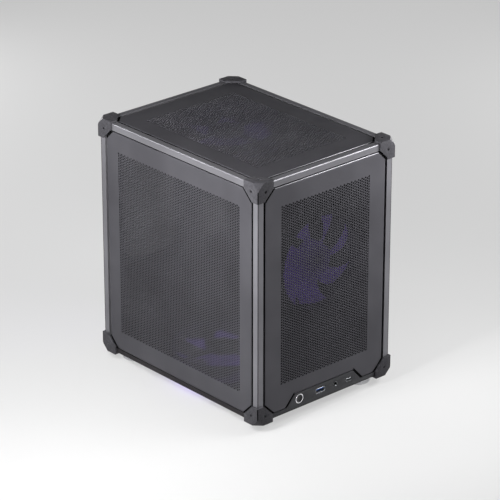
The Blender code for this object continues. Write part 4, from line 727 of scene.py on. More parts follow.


# %% [markdown]
# Each panel's outline is an octagon: its cut corners follow the protectors at 0.8 mm. The front
# panel has a notch at its foot for the port bar. The numbers are those of the imported solids. The
# folds that run from side to side on the front and the top get the paler paint as a painted
# highlight, for the bright lines of the photograph.

# %% The four panels
CAGE = (0.205, 0.2715, 0.292)
BASE_Z = 0.013
TOP_Z = BASE_Z + CAGE[2]
MIDDLE_Z = BASE_Z + CAGE[2] / 2
SIDE_GAP = 0.0109
TOP_GAP = 0.0096
LOW_GAP = 0.0068
CORNER_REACH = 0.0285 + 0.0008 * math.sqrt(2.0)

FACE_PLANES = {
    "left": Matrix(((0, 0, -1, -CAGE[0] / 2), (-1, 0, 0, 0), (0, 1, 0, MIDDLE_Z), (0, 0, 0, 1))),
    "right": Matrix(((0, 0, 1, CAGE[0] / 2), (1, 0, 0, 0), (0, 1, 0, MIDDLE_Z), (0, 0, 0, 1))),
    "front": Matrix(((1, 0, 0, 0), (0, 0, -1, -CAGE[1] / 2), (0, 1, 0, MIDDLE_Z), (0, 0, 0, 1))),
    "top": Matrix(((1, 0, 0, 0), (0, 1, 0, 0), (0, 0, 1, TOP_Z), (0, 0, 0, 1))),
}


def octagon(width, height, low_gap, high_gap):
    """Outline of a panel between the rails, with its four cut corners."""
    left = -width / 2 + SIDE_GAP
    low = -height / 2 + low_gap
    high = height / 2 - high_gap
    low_leg = CORNER_REACH - SIDE_GAP - low_gap
    high_leg = CORNER_REACH - SIDE_GAP - high_gap
    return [
        (left + low_leg, low), (-left - low_leg, low), (-left, low + low_leg),
        (-left, high - high_leg), (-left - high_leg, high), (left + high_leg, high),
        (left, high - high_leg), (left, low + low_leg),
    ]


def field_in(outline, side_margin, low_margin, high_margin):
    """Centre and size of the punched field inside an outline."""
    left = min(x for x, y in outline) + side_margin
    low = min(y for x, y in outline) + low_margin
    high = max(y for x, y in outline) - high_margin
    return (0.0, (low + high) / 2), (-2 * left, high - low)


side_outline = octagon(CAGE[1], CAGE[2], LOW_GAP, TOP_GAP)
front_outline = octagon(CAGE[0], CAGE[2], LOW_GAP, TOP_GAP)
top_outline = octagon(CAGE[0], CAGE[1], SIDE_GAP, SIDE_GAP)
NOTCH_SHOULDER = 0.0588
NOTCH_CREST = 0.0464
NOTCH_TOP = 0.0203 - CAGE[2] / 2
HIGHLIGHT_FOLDS = ("front", "top")
FOLD_TILT = (0.15, 0.985)
FOLD_TURN = 0.1
front_low = front_outline[0][1]
front_outline[1:1] = [
    (-NOTCH_SHOULDER, front_low), (-NOTCH_CREST, NOTCH_TOP),
    (NOTCH_CREST, NOTCH_TOP), (NOTCH_SHOULDER, front_low),
]
PANELS = {
    "left": (side_outline, field_in(side_outline, 0.019, 0.0215, 0.0215)),
    "right": (side_outline, field_in(side_outline, 0.019, 0.0215, 0.0215)),
    "front": (front_outline, field_in(front_outline, 0.0235, 0.030, 0.0225)),
    "top": (top_outline, field_in(top_outline, 0.0235, 0.027, 0.027)),
}
for side, (outline, (field_centre, field_size)) in PANELS.items():
    panel = folded_panel(outline, field_centre, field_size)
    piece = make_piece(
        f"{side}_perforated_panel", [panel], FACE_PLANES[side],
        f"{side}_panel", "panel_paint", [f"{side}_panel"], degrees=40.0,
    )
    mesh = piece.data
    # Upward folds that run from side to side get the painted highlight.
    mesh.materials.append(FINISHES["fold_highlight_paint"])
    for face in mesh.polygons:
        if side in HIGHLIGHT_FOLDS and FOLD_TILT[0] < face.normal.z < FOLD_TILT[1]:
            face.material_index = 1 if abs(face.normal.x) < FOLD_TURN else 0
    print(piece.name, "triangles:", sum(len(face.vertices) - 2 for face in mesh.polygons))

# %% [markdown]
# A thin black edging runs round the flanges. It is painted shade: it fills the gaps round a panel,
# where there is only shade, so that they read as black lines. It starts just under the fold, so the
# fold itself still catches the light. At the cut corners it laps over the face as a painted shadow
# line, and at the upper near post it laps further, because the proud protector hides its first part
# there.

# %% Painted shade edging
EDGING_TOP = -0.0007
EDGING_THICK = 0.00025
EDGING_ROUND = 0.0002
CORNER_SHADE_BAND = 0.0018
NEAR_SHADE_BAND = 0.0038
BAND_TAPER = 0.9
BAND_HEIGHTS = (-0.0001, 0.00012)
SHORT_LEG = 0.006
CORNER_DISTANCE = 0.11


def corner_shade_bands(side, outline):
    """A flat black strip of painted shadow along each cut corner of a panel, and none along the
    notch of the port bar.
    """
    bands = []
    for start, end in zip(outline, outline[1:] + outline[:1]):
        along = Vector(end) - Vector(start)
        if min(abs(along.x), abs(along.y)) < SHORT_LEG or Vector(start).length < CORNER_DISTANCE:
            continue
        corner = FACE_PLANES[side] @ Vector((*start, 0.0))
        near_post = corner.x < 0 and corner.y < 0 and corner.z > MIDDLE_Z
        onward = along.normalized() * (NEAR_SHADE_BAND if near_post else CORNER_SHADE_BAND)
        across = Vector((-onward.y, onward.x))
        taper = onward * BAND_TAPER
        inner_ends = [Vector(end) + across + taper, Vector(start) + across - taper]
        edge = [Vector(start), Vector(end), *inner_ends]
        bands.append(slab([tuple(point) for point in edge], *BAND_HEIGHTS))
    return bands


for side, (outline, _) in PANELS.items():
    inner = inset(outline, 0.00005)
    outer = inset(outline, -EDGING_THICK)
    soft = inset(outline, -EDGING_THICK * 0.6)
    levels = (
        (inner, EDGING_TOP), (soft, EDGING_TOP), (outer, EDGING_TOP - EDGING_ROUND),
        (outer, -FLANGE + EDGING_ROUND), (soft, -FLANGE), (inner, -FLANGE),
    )
    edging = (raised(levels), bands(len(outline), len(levels), closed=True))
    # The edging and its corner strips are black painted shade in the gaps.
    make_piece(
        f"{side}_shade_edging", [edging, *corner_shade_bands(side, outline)],
        FACE_PLANES[side], f"{side}_panel", "pad_rubber", finish="shadow_black",
    )
print("edging made for", len(PANELS), "panels")

# %% [markdown]
# The cloth fills the back of each field and its hem is pressed against the sheet.

# %% Dust filters and painted shade
FILTER_HEM = 0.004
FILTER_BACK = 0.0004
for side, (_, (field_centre, field_size)) in PANELS.items():
    size = (field_size[0] + 2 * FILTER_HEM, field_size[1] + 2 * FILTER_HEM)
    edge = rounded_rectangle(field_centre, size, FILTER_HEM)
    cloth_sheet = soft_slab(edge, -SHEET - FILTER_BACK, -SHEET - 0.00005, 0.0001, 1)
    cloth_finish = "opaque_shade_cloth" if side == "right" else "filter_and_shade_cloth"
    make_piece(
        f"{side}_dust_filter_and_shade", [cloth_sheet], FACE_PLANES[side],
        f"{side}_panel", "inner_paint", finish=cloth_finish,
    )
print("filters made for", len(PANELS), "panels")

# %% [markdown]
# ### Pins
# Four pins hold each panel. A real one has a round head with a slit, so that it springs into its
# hole. They only show when a panel is off.

# %% Panel pins
PIN_RADIUS = 0.0018
PIN_TIP = -0.0082
PIN_INSET = 0.019
PIN_END = 0.035
PIN_STEPS = 20

pin_profile = [
    (0.0, -0.0009), (0.0028, -0.0009), (0.0028, -0.0017), (PIN_RADIUS, -0.0021),
    (PIN_RADIUS, -0.0052), (PIN_RADIUS * 0.8, -0.0058), (PIN_RADIUS * 0.8, -0.0064),
    (PIN_RADIUS, -0.0069), (PIN_RADIUS, -0.0074), (PIN_RADIUS * 0.55, PIN_TIP), (0.0, PIN_TIP),
]
FACE_SIZES = {
    "left": (CAGE[1], CAGE[2]), "right": (CAGE[1], CAGE[2]),
    "front": (CAGE[0], CAGE[2]), "top": (CAGE[0], CAGE[1]),
}
for side, (width, height) in FACE_SIZES.items():
    end = PIN_INSET if side == "top" else PIN_END
    parts = []
    for x in (-1, 1):
        for y in (-1, 1):
            where = Matrix.Translation((x * (width / 2 - PIN_INSET), y * (height / 2 - end), 0.0))
            parts.append(placed([turned(pin_profile, PIN_STEPS)], where))
    make_piece(
        f"{side}_panel_pins", parts, FACE_PLANES[side],
        f"{side}_panel", "panel_paint", finish="screw_steel",
    )
print("pins made for", len(FACE_SIZES), "panels")

# %% [markdown]
# ### Rails and sheets
# The cage is welded square tube and folded sheet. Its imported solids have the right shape, so they
# stay, and modifiers finish them: doubled points are welded and the shading is weighted by area,
# so the flats stay flat and only the edges catch the light. Small plain solids also get rounded
# edges. A sheet with many windows keeps its triangles: joined into one big face with holes, it
# could be filled wrongly across a window.

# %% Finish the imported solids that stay
def finish_node(name, finish, edge=0.0):
    """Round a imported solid's edges with modifiers and give it a finish."""
    node = NODES[name]
    weld = node.modifiers.new("weld", "WELD")
    weld.merge_threshold = 2e-6
    if edge:
        flat = node.modifiers.new("flat", "DECIMATE")
        flat.decimate_type = "DISSOLVE"
        flat.angle_limit = math.radians(0.6)
        bevel = node.modifiers.new("edge", "BEVEL")
        bevel.width = edge
        bevel.segments = 2
        bevel.limit_method = "ANGLE"
        bevel.angle_limit = math.radians(30.0)
        bevel.use_clamp_overlap = True
        bevel.miter_outer = "MITER_ARC"
    weights = node.modifiers.new("weights", "WEIGHTED_NORMAL")
    weights.keep_sharp = True
    for slot_index in range(max(1, len(node.material_slots))):
        if not node.material_slots:
            node.data.materials.append(FINISHES[finish])
        node.material_slots[slot_index].material = FINISHES[finish]


POSTS = {
    "front_left": (-1, -1), "front_right": (1, -1), "rear_left": (-1, 1), "rear_right": (1, 1)
}
for post in POSTS:
    finish_node(f"post_{post}", "cage_paint")
finish_node("top_frame", "cage_paint")
finish_node("base_pan", "base_paint")
for name in ("rear_panel", "board_tray", "front_fan_bracket"):
    finish_node(name, "inner_paint")
finish_node("psu_shelf", "inner_paint", 0.0003)
finish_node("io_board", "board_laminate", 0.0002)
finish_node("power_switch", "port_black", 0.0002)
for index in range(1, 5):
    finish_node(f"slot_cover_{index}", "inner_paint", 0.0002)
print("kept nodes finished")

# %% [markdown]
# ### Corner protectors
# Each protector is a moulded shell of three walls with its vertex cut off. The imported solid is
# read, its flat triangles are joined again, and its outer edges are rounded in the mesh, as those
# of a moulding are. The narrow faces that look back along the cage lie in the gap to the panels,
# and they get the matt shadow black as painted shade, which draws the dark outline of each
# protector.

# %% Corner protectors
def packed_shape(name):
    """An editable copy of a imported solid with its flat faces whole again."""
    bm = bmesh.new()
    bm.from_mesh(NODES[name].data)
    bmesh.ops.remove_doubles(bm, verts=bm.verts, dist=2e-6)
    bmesh.ops.dissolve_limit(
        bm, angle_limit=math.radians(0.6), verts=bm.verts, edges=bm.edges, delimit=set()
    )
    return bm


OUTER_REACH = 0.0024
SHARP = math.radians(25.0)
PROTECTOR_ROUND = 0.0016
LOOKS_BACK = 0.6


def is_outer(edge, corner, signs):
    """True where an edge lies on the outer faces of a protector."""
    reach = [
        (vertex.co[axis] - corner[axis]) * signs[axis] > OUTER_REACH
        for vertex in edge.verts for axis in range(3)
    ]
    return any(reach[:3]) and any(reach[3:])


def cage_corner(signs):
    """The corner of the cage on the side of three signs."""
    return Vector((
        signs[0] * CAGE[0] / 2, signs[1] * CAGE[1] / 2, MIDDLE_Z + signs[2] * CAGE[2] / 2
    ))


CORNERS = {
    f"{post}_{level}": (x, y, z)
    for post, (x, y) in POSTS.items() for level, z in (("top", 1), ("base", -1))
}
for name, signs in CORNERS.items():
    corner = cage_corner(signs)
    bm = packed_shape(f"corner_{name}")
    outer = [
        edge for edge in bm.edges
        if edge.calc_face_angle(0.0) > SHARP and is_outer(edge, corner, signs)
    ]
    bmesh.ops.bevel(
        bm, geom=outer, offset=PROTECTOR_ROUND, segments=3, profile=0.5, affect="EDGES",
        clamp_overlap=True, miter_outer="ARC",
    )
    # Faces that look back into the gaps get the shadow black: painted shade.
    for face in bm.faces:
        towards = [-signs[axis] * face.normal[axis] for axis in range(3)]
        face.material_index = 1 if max(towards) > LOOKS_BACK else 0
    mesh = bpy.data.meshes.new(f"protector_{name}")
    bm.to_mesh(mesh)
    bm.free()
    smooth_by_angle(mesh, 40.0)
    add_piece(f"protector_{name}", mesh, "chassis", "protector_plastic", [f"corner_{name}"])
    mesh.materials.append(FINISHES["shadow_black"])
    print(name, "outer edges rounded:", len(outer))

# %% [markdown]
# A black strip lies in the groove that runs down the upright edge of each protector. It is painted
# shade for the shaded groove, and it reads as a black line in the photograph. The strip is a flat
# bar, turned by 45 degrees.

# %% Groove shade strips
STRIP_WIDTH = 0.0012
STRIP_DEPTH = 0.0008
STRIP_PLACE = 0.0018
STRIP_TOP = 0.0068
STRIP_END = 0.0208
for name, signs in CORNERS.items():
    bar = rounded_rectangle((0.0, 0.0), (STRIP_DEPTH, STRIP_WIDTH), 0.0001, 2)
    edge = Vector((
        signs[0] * (CAGE[0] / 2 + STRIP_PLACE), signs[1] * (CAGE[1] / 2 + STRIP_PLACE),
        MIDDLE_Z + signs[2] * CAGE[2] / 2,
    ))
    low, high = sorted((-signs[2] * STRIP_TOP, -signs[2] * STRIP_END))
    turn = Matrix.Rotation(math.radians(45.0 * signs[0] * signs[1]), 4, "Z")
    make_piece(
        f"groove_shade_strip_{name}", [slab(bar, low, high)], Matrix.Translation(edge) @ turn,
        "chassis", "pad_rubber", finish="shadow_black",
    )
print("groove strips:", len(CORNERS))

# %% [markdown]
# The black line of painted shade goes on down the outer edge of each post as a thin black bead
# between two protectors.

# %% Post shade beads
BEAD_WIDTH = 0.0008
BEAD_DEPTH = 0.0004
BEAD_END = 0.018
for name, (x, y) in POSTS.items():
    bar = rounded_rectangle((0.0, 0.0), (BEAD_WIDTH, BEAD_WIDTH), 0.00015, 2)
    place = Vector((x * (CAGE[0] / 2 - BEAD_DEPTH), y * (CAGE[1] / 2 - BEAD_DEPTH), 0.0))
    where = Matrix.Translation(place) @ Matrix.Rotation(math.radians(45.0), 4, "Z")
    make_piece(
        f"post_shade_bead_{name}", [slab(bar, BASE_Z + BEAD_END, TOP_Z - BEAD_END)], where,
        "chassis", "pad_rubber", finish="shadow_black",
    )
print("post beads:", len(POSTS))

# %% [markdown]
# A cap screw sits in the hole of each wall. It has a low round head with a hexagonal socket,
# which reads as the dark dot in the photograph.

# %% Protector screws
SCREW_INSET = 0.0088
SCREW_HEAD = 0.0016
SOCKET_REACH = 0.0009
PROTECTOR_STAND = 0.0025


def socket_screw(head_radius, head_top, head_base, socket_reach, socket_depth):
    """Round head with a hexagonal socket, standing on local Z."""
    steps = 18
    edge = head_radius * 0.18
    profile = [(head_radius, head_base), (head_radius, head_top - edge)]
    profile += [(head_radius - edge * 0.3, head_top - edge * 0.3), (head_radius - edge, head_top)]
    points = raised([(ring_outline((0.0, 0.0), reach, steps), z) for reach, z in profile])
    faces = [cap(steps), *bands(steps, len(profile))]
    rim = (len(profile) - 1) * steps
    first = len(points)
    socket = ring_outline((0.0, 0.0), socket_reach, 6)
    points += raised([(socket, head_top), (socket, head_top - socket_depth)])
    per_side = steps // 6
    for side in range(6):
        after = (side + 1) % 6
        fan = [rim + (side * per_side + k) % steps for k in range(per_side + 1)]
        for a, b in zip(fan, fan[1:]):
            faces.append((a, b, first + side))
        faces.append((fan[-1], first + after, first + side))
        faces.append((first + side, first + after, first + 6 + after, first + 6 + side))
    faces.append(tuple(first + 6 + k for k in range(6)))
    return points, faces


screw = socket_screw(SCREW_HEAD, 0.0, -0.0024, SOCKET_REACH, 0.0012)
for name, signs in CORNERS.items():
    corner = cage_corner(signs)
    parts = []
    for axis in range(3):
        out = Vector((0.0, 0.0, 0.0))
        out[axis] = signs[axis]
        place = Vector([corner[i] - signs[i] * SCREW_INSET for i in range(3)])
        place[axis] = corner[axis] + signs[axis] * (PROTECTOR_STAND - 0.0006)
        where = Matrix.Translation(place) @ out.to_track_quat("Z", "Y").to_matrix().to_4x4()
        parts.append(placed([screw], where))
    make_piece(f"protector_screws_{name}", parts, IN_PLACE, "chassis", "screw_steel")
print("protector screws:", 3 * len(CORNERS))

# %% [markdown]
# ### Fans
# The case has three 120 mm fans. The rotor is one moulding of cloudy plastic: a cup with seven
# swept, twisted blades, lit violet from its hub. A blade is a grid of points: across its chord it
# climbs, along its span it leans back. Its thickness swells in the middle like a wing, so its
# edges are thin, and it ends clear of the bore.

# %% Rotor
HUB_RADIUS = 0.0205
CUP_TOP = 0.0095
CUP_BASE = -0.0075
BLADE_TIP = 0.0558
BLADE_DEPTH = CUP_TOP - CUP_BASE - 0.003
BLADES = 7
SPANS = 8
CHORDS = 9
BLADE_TWIST = math.radians(34.0)
BLADE_SWEEP = math.radians(16.0)
BLADE_LEAN = 0.45
BLADE_EDGE = 0.00015
BLADE_SWELL = 0.00075


def blade(turn):
    """One blade as a closed skin, turned about local Z."""
    root = HUB_RADIUS - 0.0008
    points = []
    for face in (1, -1):
        for i in range(SPANS + 1):
            span = i / SPANS
            radius = root + (BLADE_TIP - root) * span
            for j in range(CHORDS + 1):
                chord = j / CHORDS
                angle = turn + BLADE_SWEEP * span * span + BLADE_TWIST * (chord - 0.5)
                rise = BLADE_DEPTH * (1.0 - 0.25 * span)
                height = rise * (chord - 0.5) + 0.12 * BLADE_DEPTH * math.sin(math.pi * chord)
                half = BLADE_EDGE + BLADE_SWELL * math.sin(math.pi * chord) ** 0.6
                half *= 1.0 - 0.3 * span
                points.append((
                    radius * math.cos(angle) + face * half * BLADE_LEAN * math.sin(angle),
                    radius * math.sin(angle) - face * half * BLADE_LEAN * math.cos(angle),
                    height + face * half,
                ))
    row = CHORDS + 1
    size = row * (SPANS + 1)
    faces = []
    for i in range(SPANS):
        for j in range(CHORDS):
            a = i * row + j
            faces.append((a, a + row, a + row + 1, a + 1))
            faces.append((size + a, size + a + 1, size + a + row + 1, size + a + row))
    for i in range(SPANS):
        for j in (0, CHORDS):
            a = i * row + j
            faces.append((a, a + row, size + a + row, size + a))
    for j in range(CHORDS):
        for i in (0, SPANS):
            a = i * row + j
            faces.append((a, a + 1, size + a + 1, size + a))
    return points, faces


hub_profile = [
    (0.0, CUP_TOP - 0.0005), (0.0150, CUP_TOP - 0.0005), (0.0153, CUP_TOP),
    (0.0185, CUP_TOP), (0.0198, CUP_TOP - 0.0004), (HUB_RADIUS, CUP_TOP - 0.0015),
    (HUB_RADIUS, CUP_BASE), (0.0190, CUP_BASE), (0.0190, CUP_TOP - 0.003),
    (0.0015, CUP_TOP - 0.003), (0.0015, CUP_BASE), (0.0, CUP_BASE),
]
rotor_parts = [turned(hub_profile, 48)]
rotor_parts += [blade(math.tau * k / BLADES) for k in range(BLADES)]
rotor_shape = placed(rotor_parts)
print("rotor points:", len(rotor_shape[0]))

# %% [markdown]
# The photograph shows each fan as a soft violet ring, so the plastic glows most on the outer half
# of its blades and fades towards the hub. The fading is stored on the points of the mesh, as a
# value that the finish reads. Each fan's share of the light is set to the photograph.

# %% Glow on the points
GLOW_CENTRE = 0.042
GLOW_REACH = 0.045


def store_glow(mesh, where, share):
    """A value on every point: 1 on the outer half of the blades, 0 on the middle of the cup."""
    axis = where.inverted()
    values = mesh.attributes.new("glow", "FLOAT", "POINT")
    for index, vertex in enumerate(mesh.vertices):
        local = axis @ vertex.co
        radius = math.hypot(local.x, local.y)
        fade = 1.0 - abs(radius - GLOW_CENTRE) / GLOW_REACH
        ripple = 0.75 + 0.25 * noise.noise(vertex.co * 60.0)
        values.data[index].value = max(0.0, min(1.0, fade)) * ripple * share

# %% [markdown]
# The frame is a square moulding with a round bore. Two flanges carry the corner holes, a thin
# duct joins them, and four struts hold the hub that the rotor turns on.

# %% Fan frame
FAN_HALF = 0.060
FAN_DEPTH = 0.0125
FAN_BORE = 0.0577
FAN_FLANGE = 0.004
DUCT_WALL = 0.0012
FAN_CORNER = 0.0045
SCREW_HOLE = 0.0021
SCREW_PLACE = 0.0525
STRUT_HALF = 0.0025
STRUT_HEIGHT = 0.003
BORE_STEPS = 64


def fan_frame_shape():
    """Flanges, duct, struts and hub, with the intake side towards local +Z."""
    square = rounded_rectangle((0.0, 0.0), (2 * FAN_HALF, 2 * FAN_HALF), FAN_CORNER)
    bore = ring_outline((0.0, 0.0), FAN_BORE, BORE_STEPS)
    holes = [
        ring_outline((x * SCREW_PLACE, y * SCREW_PLACE), SCREW_HOLE, 16)
        for x in (-1, 1) for y in (-1, 1)
    ]
    parts = []
    for low, high in ((-FAN_DEPTH, -FAN_DEPTH + FAN_FLANGE), (FAN_DEPTH - FAN_FLANGE, FAN_DEPTH)):
        parts.append(pierced(square, [bore] + holes, low, high))
    duct_end = FAN_DEPTH - FAN_FLANGE / 2
    duct = [
        (FAN_BORE, -duct_end), (FAN_BORE + DUCT_WALL, -duct_end),
        (FAN_BORE + DUCT_WALL, duct_end), (FAN_BORE, duct_end),
    ]
    parts.append(turned(duct, BORE_STEPS))
    hub = [
        (0.0, -FAN_DEPTH), (0.0190, -FAN_DEPTH), (HUB_RADIUS, -FAN_DEPTH + 0.0006),
        (HUB_RADIUS, -FAN_DEPTH + 0.003), (0.0165, -FAN_DEPTH + 0.003),
        (0.0165, CUP_TOP - 0.0055), (0.0018, CUP_TOP - 0.0055), (0.0018, -FAN_DEPTH + 0.003),
        (0.0, -FAN_DEPTH + 0.003),
    ]
    parts.append(turned(hub, 48))
    for k in range(4):
        spin = Matrix.Rotation(math.tau * k / 4, 4, "Z")
        strut = [
            (HUB_RADIUS - 0.001, -STRUT_HALF), (FAN_BORE + 0.0006, -STRUT_HALF),
            (FAN_BORE + 0.0006, STRUT_HALF), (HUB_RADIUS - 0.001, STRUT_HALF),
        ]
        parts.append(placed([slab(strut, -FAN_DEPTH, -FAN_DEPTH + STRUT_HEIGHT)], spin))
    return placed(parts)


frame_shape = fan_frame_shape()

# %% [markdown]
# A fan of this kind also has a clear band round its duct and a clear rim on both flanges, lit by
# the same lamps. It is what glows through the side panels, where the blades can't be seen.

# %% Light rings
GLOW_SHARE = {"front_fan": 0.42, "top_fan": 1.0, "base_fan": 0.75}
RING_SHARE = 0.35
BAND_REACH = 0.0596
light_band = [
    (FAN_BORE + DUCT_WALL - 0.0001, -0.0084), (BAND_REACH, -0.0084), (BAND_REACH, -0.0006),
    (BAND_REACH - 0.0003, 0.0), (BAND_REACH, 0.0006), (BAND_REACH, 0.0084),
    (FAN_BORE + DUCT_WALL - 0.0001, 0.0084),
]
light_rims = []
for face in (-1, 1):
    level = face * FAN_DEPTH
    light_rims.append([
        (FAN_BORE + 0.0001, level - face * 0.0006), (FAN_BORE + 0.0019, level - face * 0.0006),
        (FAN_BORE + 0.0019, level + face * 0.0001), (FAN_BORE + 0.0001, level + face * 0.0002),
    ])
FANS = {
    "front_fan": Matrix.Translation((0.0, -0.11325, 0.181)) @ Matrix.Rotation(math.pi / 2, 4, "X"),
    "top_fan": Matrix.Translation((0.0, 0.032, 0.284)) @ Matrix.Rotation(math.pi, 4, "X"),
    "base_fan": Matrix.Translation((-0.030, 0.006, 0.027)) @ Matrix.Rotation(math.pi, 4, "X"),
}
for name, where in FANS.items():
    make_piece(
        f"{name}_housing", [frame_shape], where, "chassis", "fan_plastic", [f"{name}_frame"]
    )
    blades = make_piece(
        f"{name}_blades", [rotor_shape], where,
        f"{name}_rotor", "rotor_plastic", [f"{name}_rotor"], degrees=50.0,
    )
    store_glow(blades.data, where, GLOW_SHARE[name])
    parts = [turned(light_band, BORE_STEPS)] + [turned(rim, BORE_STEPS) for rim in light_rims]
    ring = make_piece(f"{name}_light_ring", parts, where, "chassis", "rotor_plastic")
    store_glow(ring.data, where, RING_SHARE * GLOW_SHARE[name])
    low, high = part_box(f"{name}_frame")
    print(name, "solid centre:", [round((a + b) / 2, 4) for a, b in zip(low, high)])

# %% [markdown]
# ### Feet
# Each foot is a turned cap of silver metal on a narrower neck, with a rubber pad let into its
# underside. The rim is rounded and two fine rings are turned into its wall.

# %% Feet
FOOT_STEPS = 48
FOOT_X = 0.0775
FOOT_Y = 0.11175
foot_profile = [
    (0.0, 0.0127), (0.0105, 0.0127), (0.0105, 0.0098), (0.0122, 0.0097), (0.0133, 0.0094),
    (0.0138, 0.0089), (0.0140, 0.0083), (0.0140, 0.0068), (0.0137, 0.0066), (0.0137, 0.0063),
    (0.0140, 0.0061), (0.0140, 0.0047), (0.0137, 0.0045), (0.0137, 0.0042), (0.0140, 0.0040),
    (0.0140, 0.0018), (0.0137, 0.0013), (0.0132, 0.0012), (0.0121, 0.0012), (0.0121, 0.0025),
    (0.0, 0.0025),
]
pad_profile = [
    (0.0, 0.0022), (0.0118, 0.0022), (0.0118, 0.0004), (0.0114, 0.0), (0.0094, 0.0),
    (0.0090, 0.0004), (0.0086, 0.0), (0.0062, 0.0), (0.0058, 0.0004), (0.0054, 0.0),
    (0.0, 0.0),
]
for depth, y in (("front", -FOOT_Y), ("rear", FOOT_Y)):
    for side, x in (("left", -FOOT_X), ("right", FOOT_X)):
        where = Matrix.Translation((x, y, 0.0))
        make_piece(
            f"silver_foot_{depth}_{side}", [turned(foot_profile, FOOT_STEPS)], where,
            "chassis", "foot_silver", [f"foot_{depth}_{side}"],
        )
        make_piece(
            f"rubber_pad_{depth}_{side}", [turned(pad_profile, FOOT_STEPS)], where,
            "chassis", "pad_rubber", [f"foot_pad_{depth}_{side}"],
        )
print("feet made")

# %% [markdown]
# ### Port bar
# The bar is one moulding: a low band along the foot of the front, with a raised middle that
# carries the ports. Its solid is read and its front edges are rounded by a small radius, as a
# moulding has, so that the bar shows a thin light line round itself.

# %% Port bar
bm = packed_shape("io_bar")
front_y = -CAGE[1] / 2
bar_edges = [
    edge for edge in bm.edges
    if edge.calc_face_angle(0.0) > SHARP
    and all(vertex.co.y < front_y + 0.0002 for vertex in edge.verts)
]
bmesh.ops.bevel(
    bm, geom=bar_edges, offset=0.0003, segments=2, profile=0.5, affect="EDGES", clamp_overlap=True
)
mesh = bpy.data.meshes.new("port_bar")
bm.to_mesh(mesh)
bm.free()
smooth_by_angle(mesh, 35.0)
add_piece("port_bar", mesh, "chassis", "bar_plastic", ["io_bar"])
print("bar edges rounded:", len(bar_edges))

# %% [markdown]
# ### Power button
# A chromed ring frames a round cap. The cap is slightly dished and moves 1.5 mm into the switch.

# %% Power ring and button
BUTTON_X = -0.0385
BUTTON_Z = 0.0248
FACING = Matrix.Rotation(math.pi / 2, 4, "X")
ring_profile = [
    (0.0048, -0.0030), (0.0060, -0.0030), (0.0060, -0.0002), (0.0059, 0.0001),
    (0.0056, 0.0003), (0.0052, 0.0003), (0.0049, 0.0001), (0.0048, -0.0002),
]
cap_profile = [
    (0.0, -0.0008), (0.0025, -0.0007), (0.0038, -0.0005), (0.0042, -0.0004), (0.0045, -0.0006),
    (0.0045, -0.0046), (0.0015, -0.0046), (0.0015, -0.0096), (0.0, -0.0096),
]
where = Matrix.Translation((BUTTON_X, front_y, BUTTON_Z)) @ FACING
make_piece(
    "power_ring_chrome", [turned(ring_profile, 48)], where,
    "chassis", "ring_chrome", ["power_ring"],
)
make_piece(
    "power_button_cap", [turned(cap_profile, 48)], where,
    "power_button", "button_plastic", ["power_button"],
)
print("power button at", BUTTON_X, BUTTON_Z)

# %% [markdown]
# ### Ports
# The type A port is a folded steel shell with a flared mouth, four spring fingers and a blue
# tongue with gold contacts. Every port is drawn looking at it from the front and is then put in
# its place by one matrix.

# %% Type A port
USB_A_X = -0.0055
USB_A_Z = 0.0245
USB_A_SIZE = (0.0144, 0.0064)
USB_A_WALL = 0.0006
USB_A_DEPTH = 0.014


def shell_shape(outer, inner, back, front, flare):
    """A tube between two outlines, with its mouth's inner rim flared."""
    middle = [tuple(Vector(a).lerp(Vector(b), 0.35)) for a, b in zip(outer, inner)]
    levels = [
        (outer, back), (outer, front - flare * 0.4), (middle, front), (inner, front - flare),
        (inner, back),
    ]
    return raised(levels), bands(len(outer), len(levels), closed=True)


def at_front(x, z):
    """A matrix that puts local Z forwards, at a place on the front face."""
    return Matrix.Translation((x, front_y, z)) @ FACING


outer = rounded_rectangle((0.0, 0.0), USB_A_SIZE, 0.0007, 3)
inner = rounded_rectangle(
    (0.0, 0.0), (USB_A_SIZE[0] - 2 * USB_A_WALL, USB_A_SIZE[1] - 2 * USB_A_WALL), 0.0003, 3
)
parts = [shell_shape(outer, inner, -USB_A_DEPTH, 0.0, 0.0006)]
for x in (-0.0036, 0.0036):
    for side in (-1, 1):
        height = side * (USB_A_SIZE[1] / 2 - USB_A_WALL)
        finger = [
            (x - 0.0011, -0.0098), (x + 0.0011, -0.0098), (x + 0.0009, -0.0030),
            (x - 0.0009, -0.0030),
        ]
        fold = [0.0, 0.0, 0.00035, 0.00035]
        points = [(a, height - side * (f + 0.00002), b) for (a, b), f in zip(finger, fold)]
        points += [(a, height - side * (f + 0.00022), b) for (a, b), f in zip(finger, fold)]
        parts.append((points, [
            (0, 1, 2, 3), (7, 6, 5, 4), (0, 4, 5, 1), (1, 5, 6, 2), (2, 6, 7, 3), (3, 7, 4, 0)
        ]))
make_piece(
    "type_a_port_shell", parts, at_front(USB_A_X, USB_A_Z),
    "chassis", "port_steel", ["usb_a_shell"],
)

leaf_low, leaf_high = 0.0003, 0.0020
back_block = rounded_rectangle((0.0, 0.0), (0.0128, 0.0048), 0.0002, 2)
leaf_middle = (0.0, (leaf_low + leaf_high) / 2)
leaf = rounded_rectangle(leaf_middle, (0.0116, leaf_high - leaf_low), 0.0003, 3)
parts = [
    soft_slab(back_block, -USB_A_DEPTH, -0.011, 0.0002), soft_slab(leaf, -0.0125, -0.0012, 0.0003)
]
make_piece(
    "type_a_port_tongue", parts, at_front(USB_A_X, USB_A_Z),
    "chassis", "port_blue", ["usb_a_tongue"],
)

parts = []
for x in (-0.0035, -0.0012, 0.0012, 0.0035):
    strip = rounded_rectangle((x, leaf_low - 0.0001), (0.0010, 0.0003), 0.0001, 2)
    parts.append(soft_slab(strip, -0.0105, -0.0020, 0.0001))
make_piece(
    "type_a_port_contacts", parts, at_front(USB_A_X, USB_A_Z),
    "chassis", "port_steel", finish="contact_gold",
)

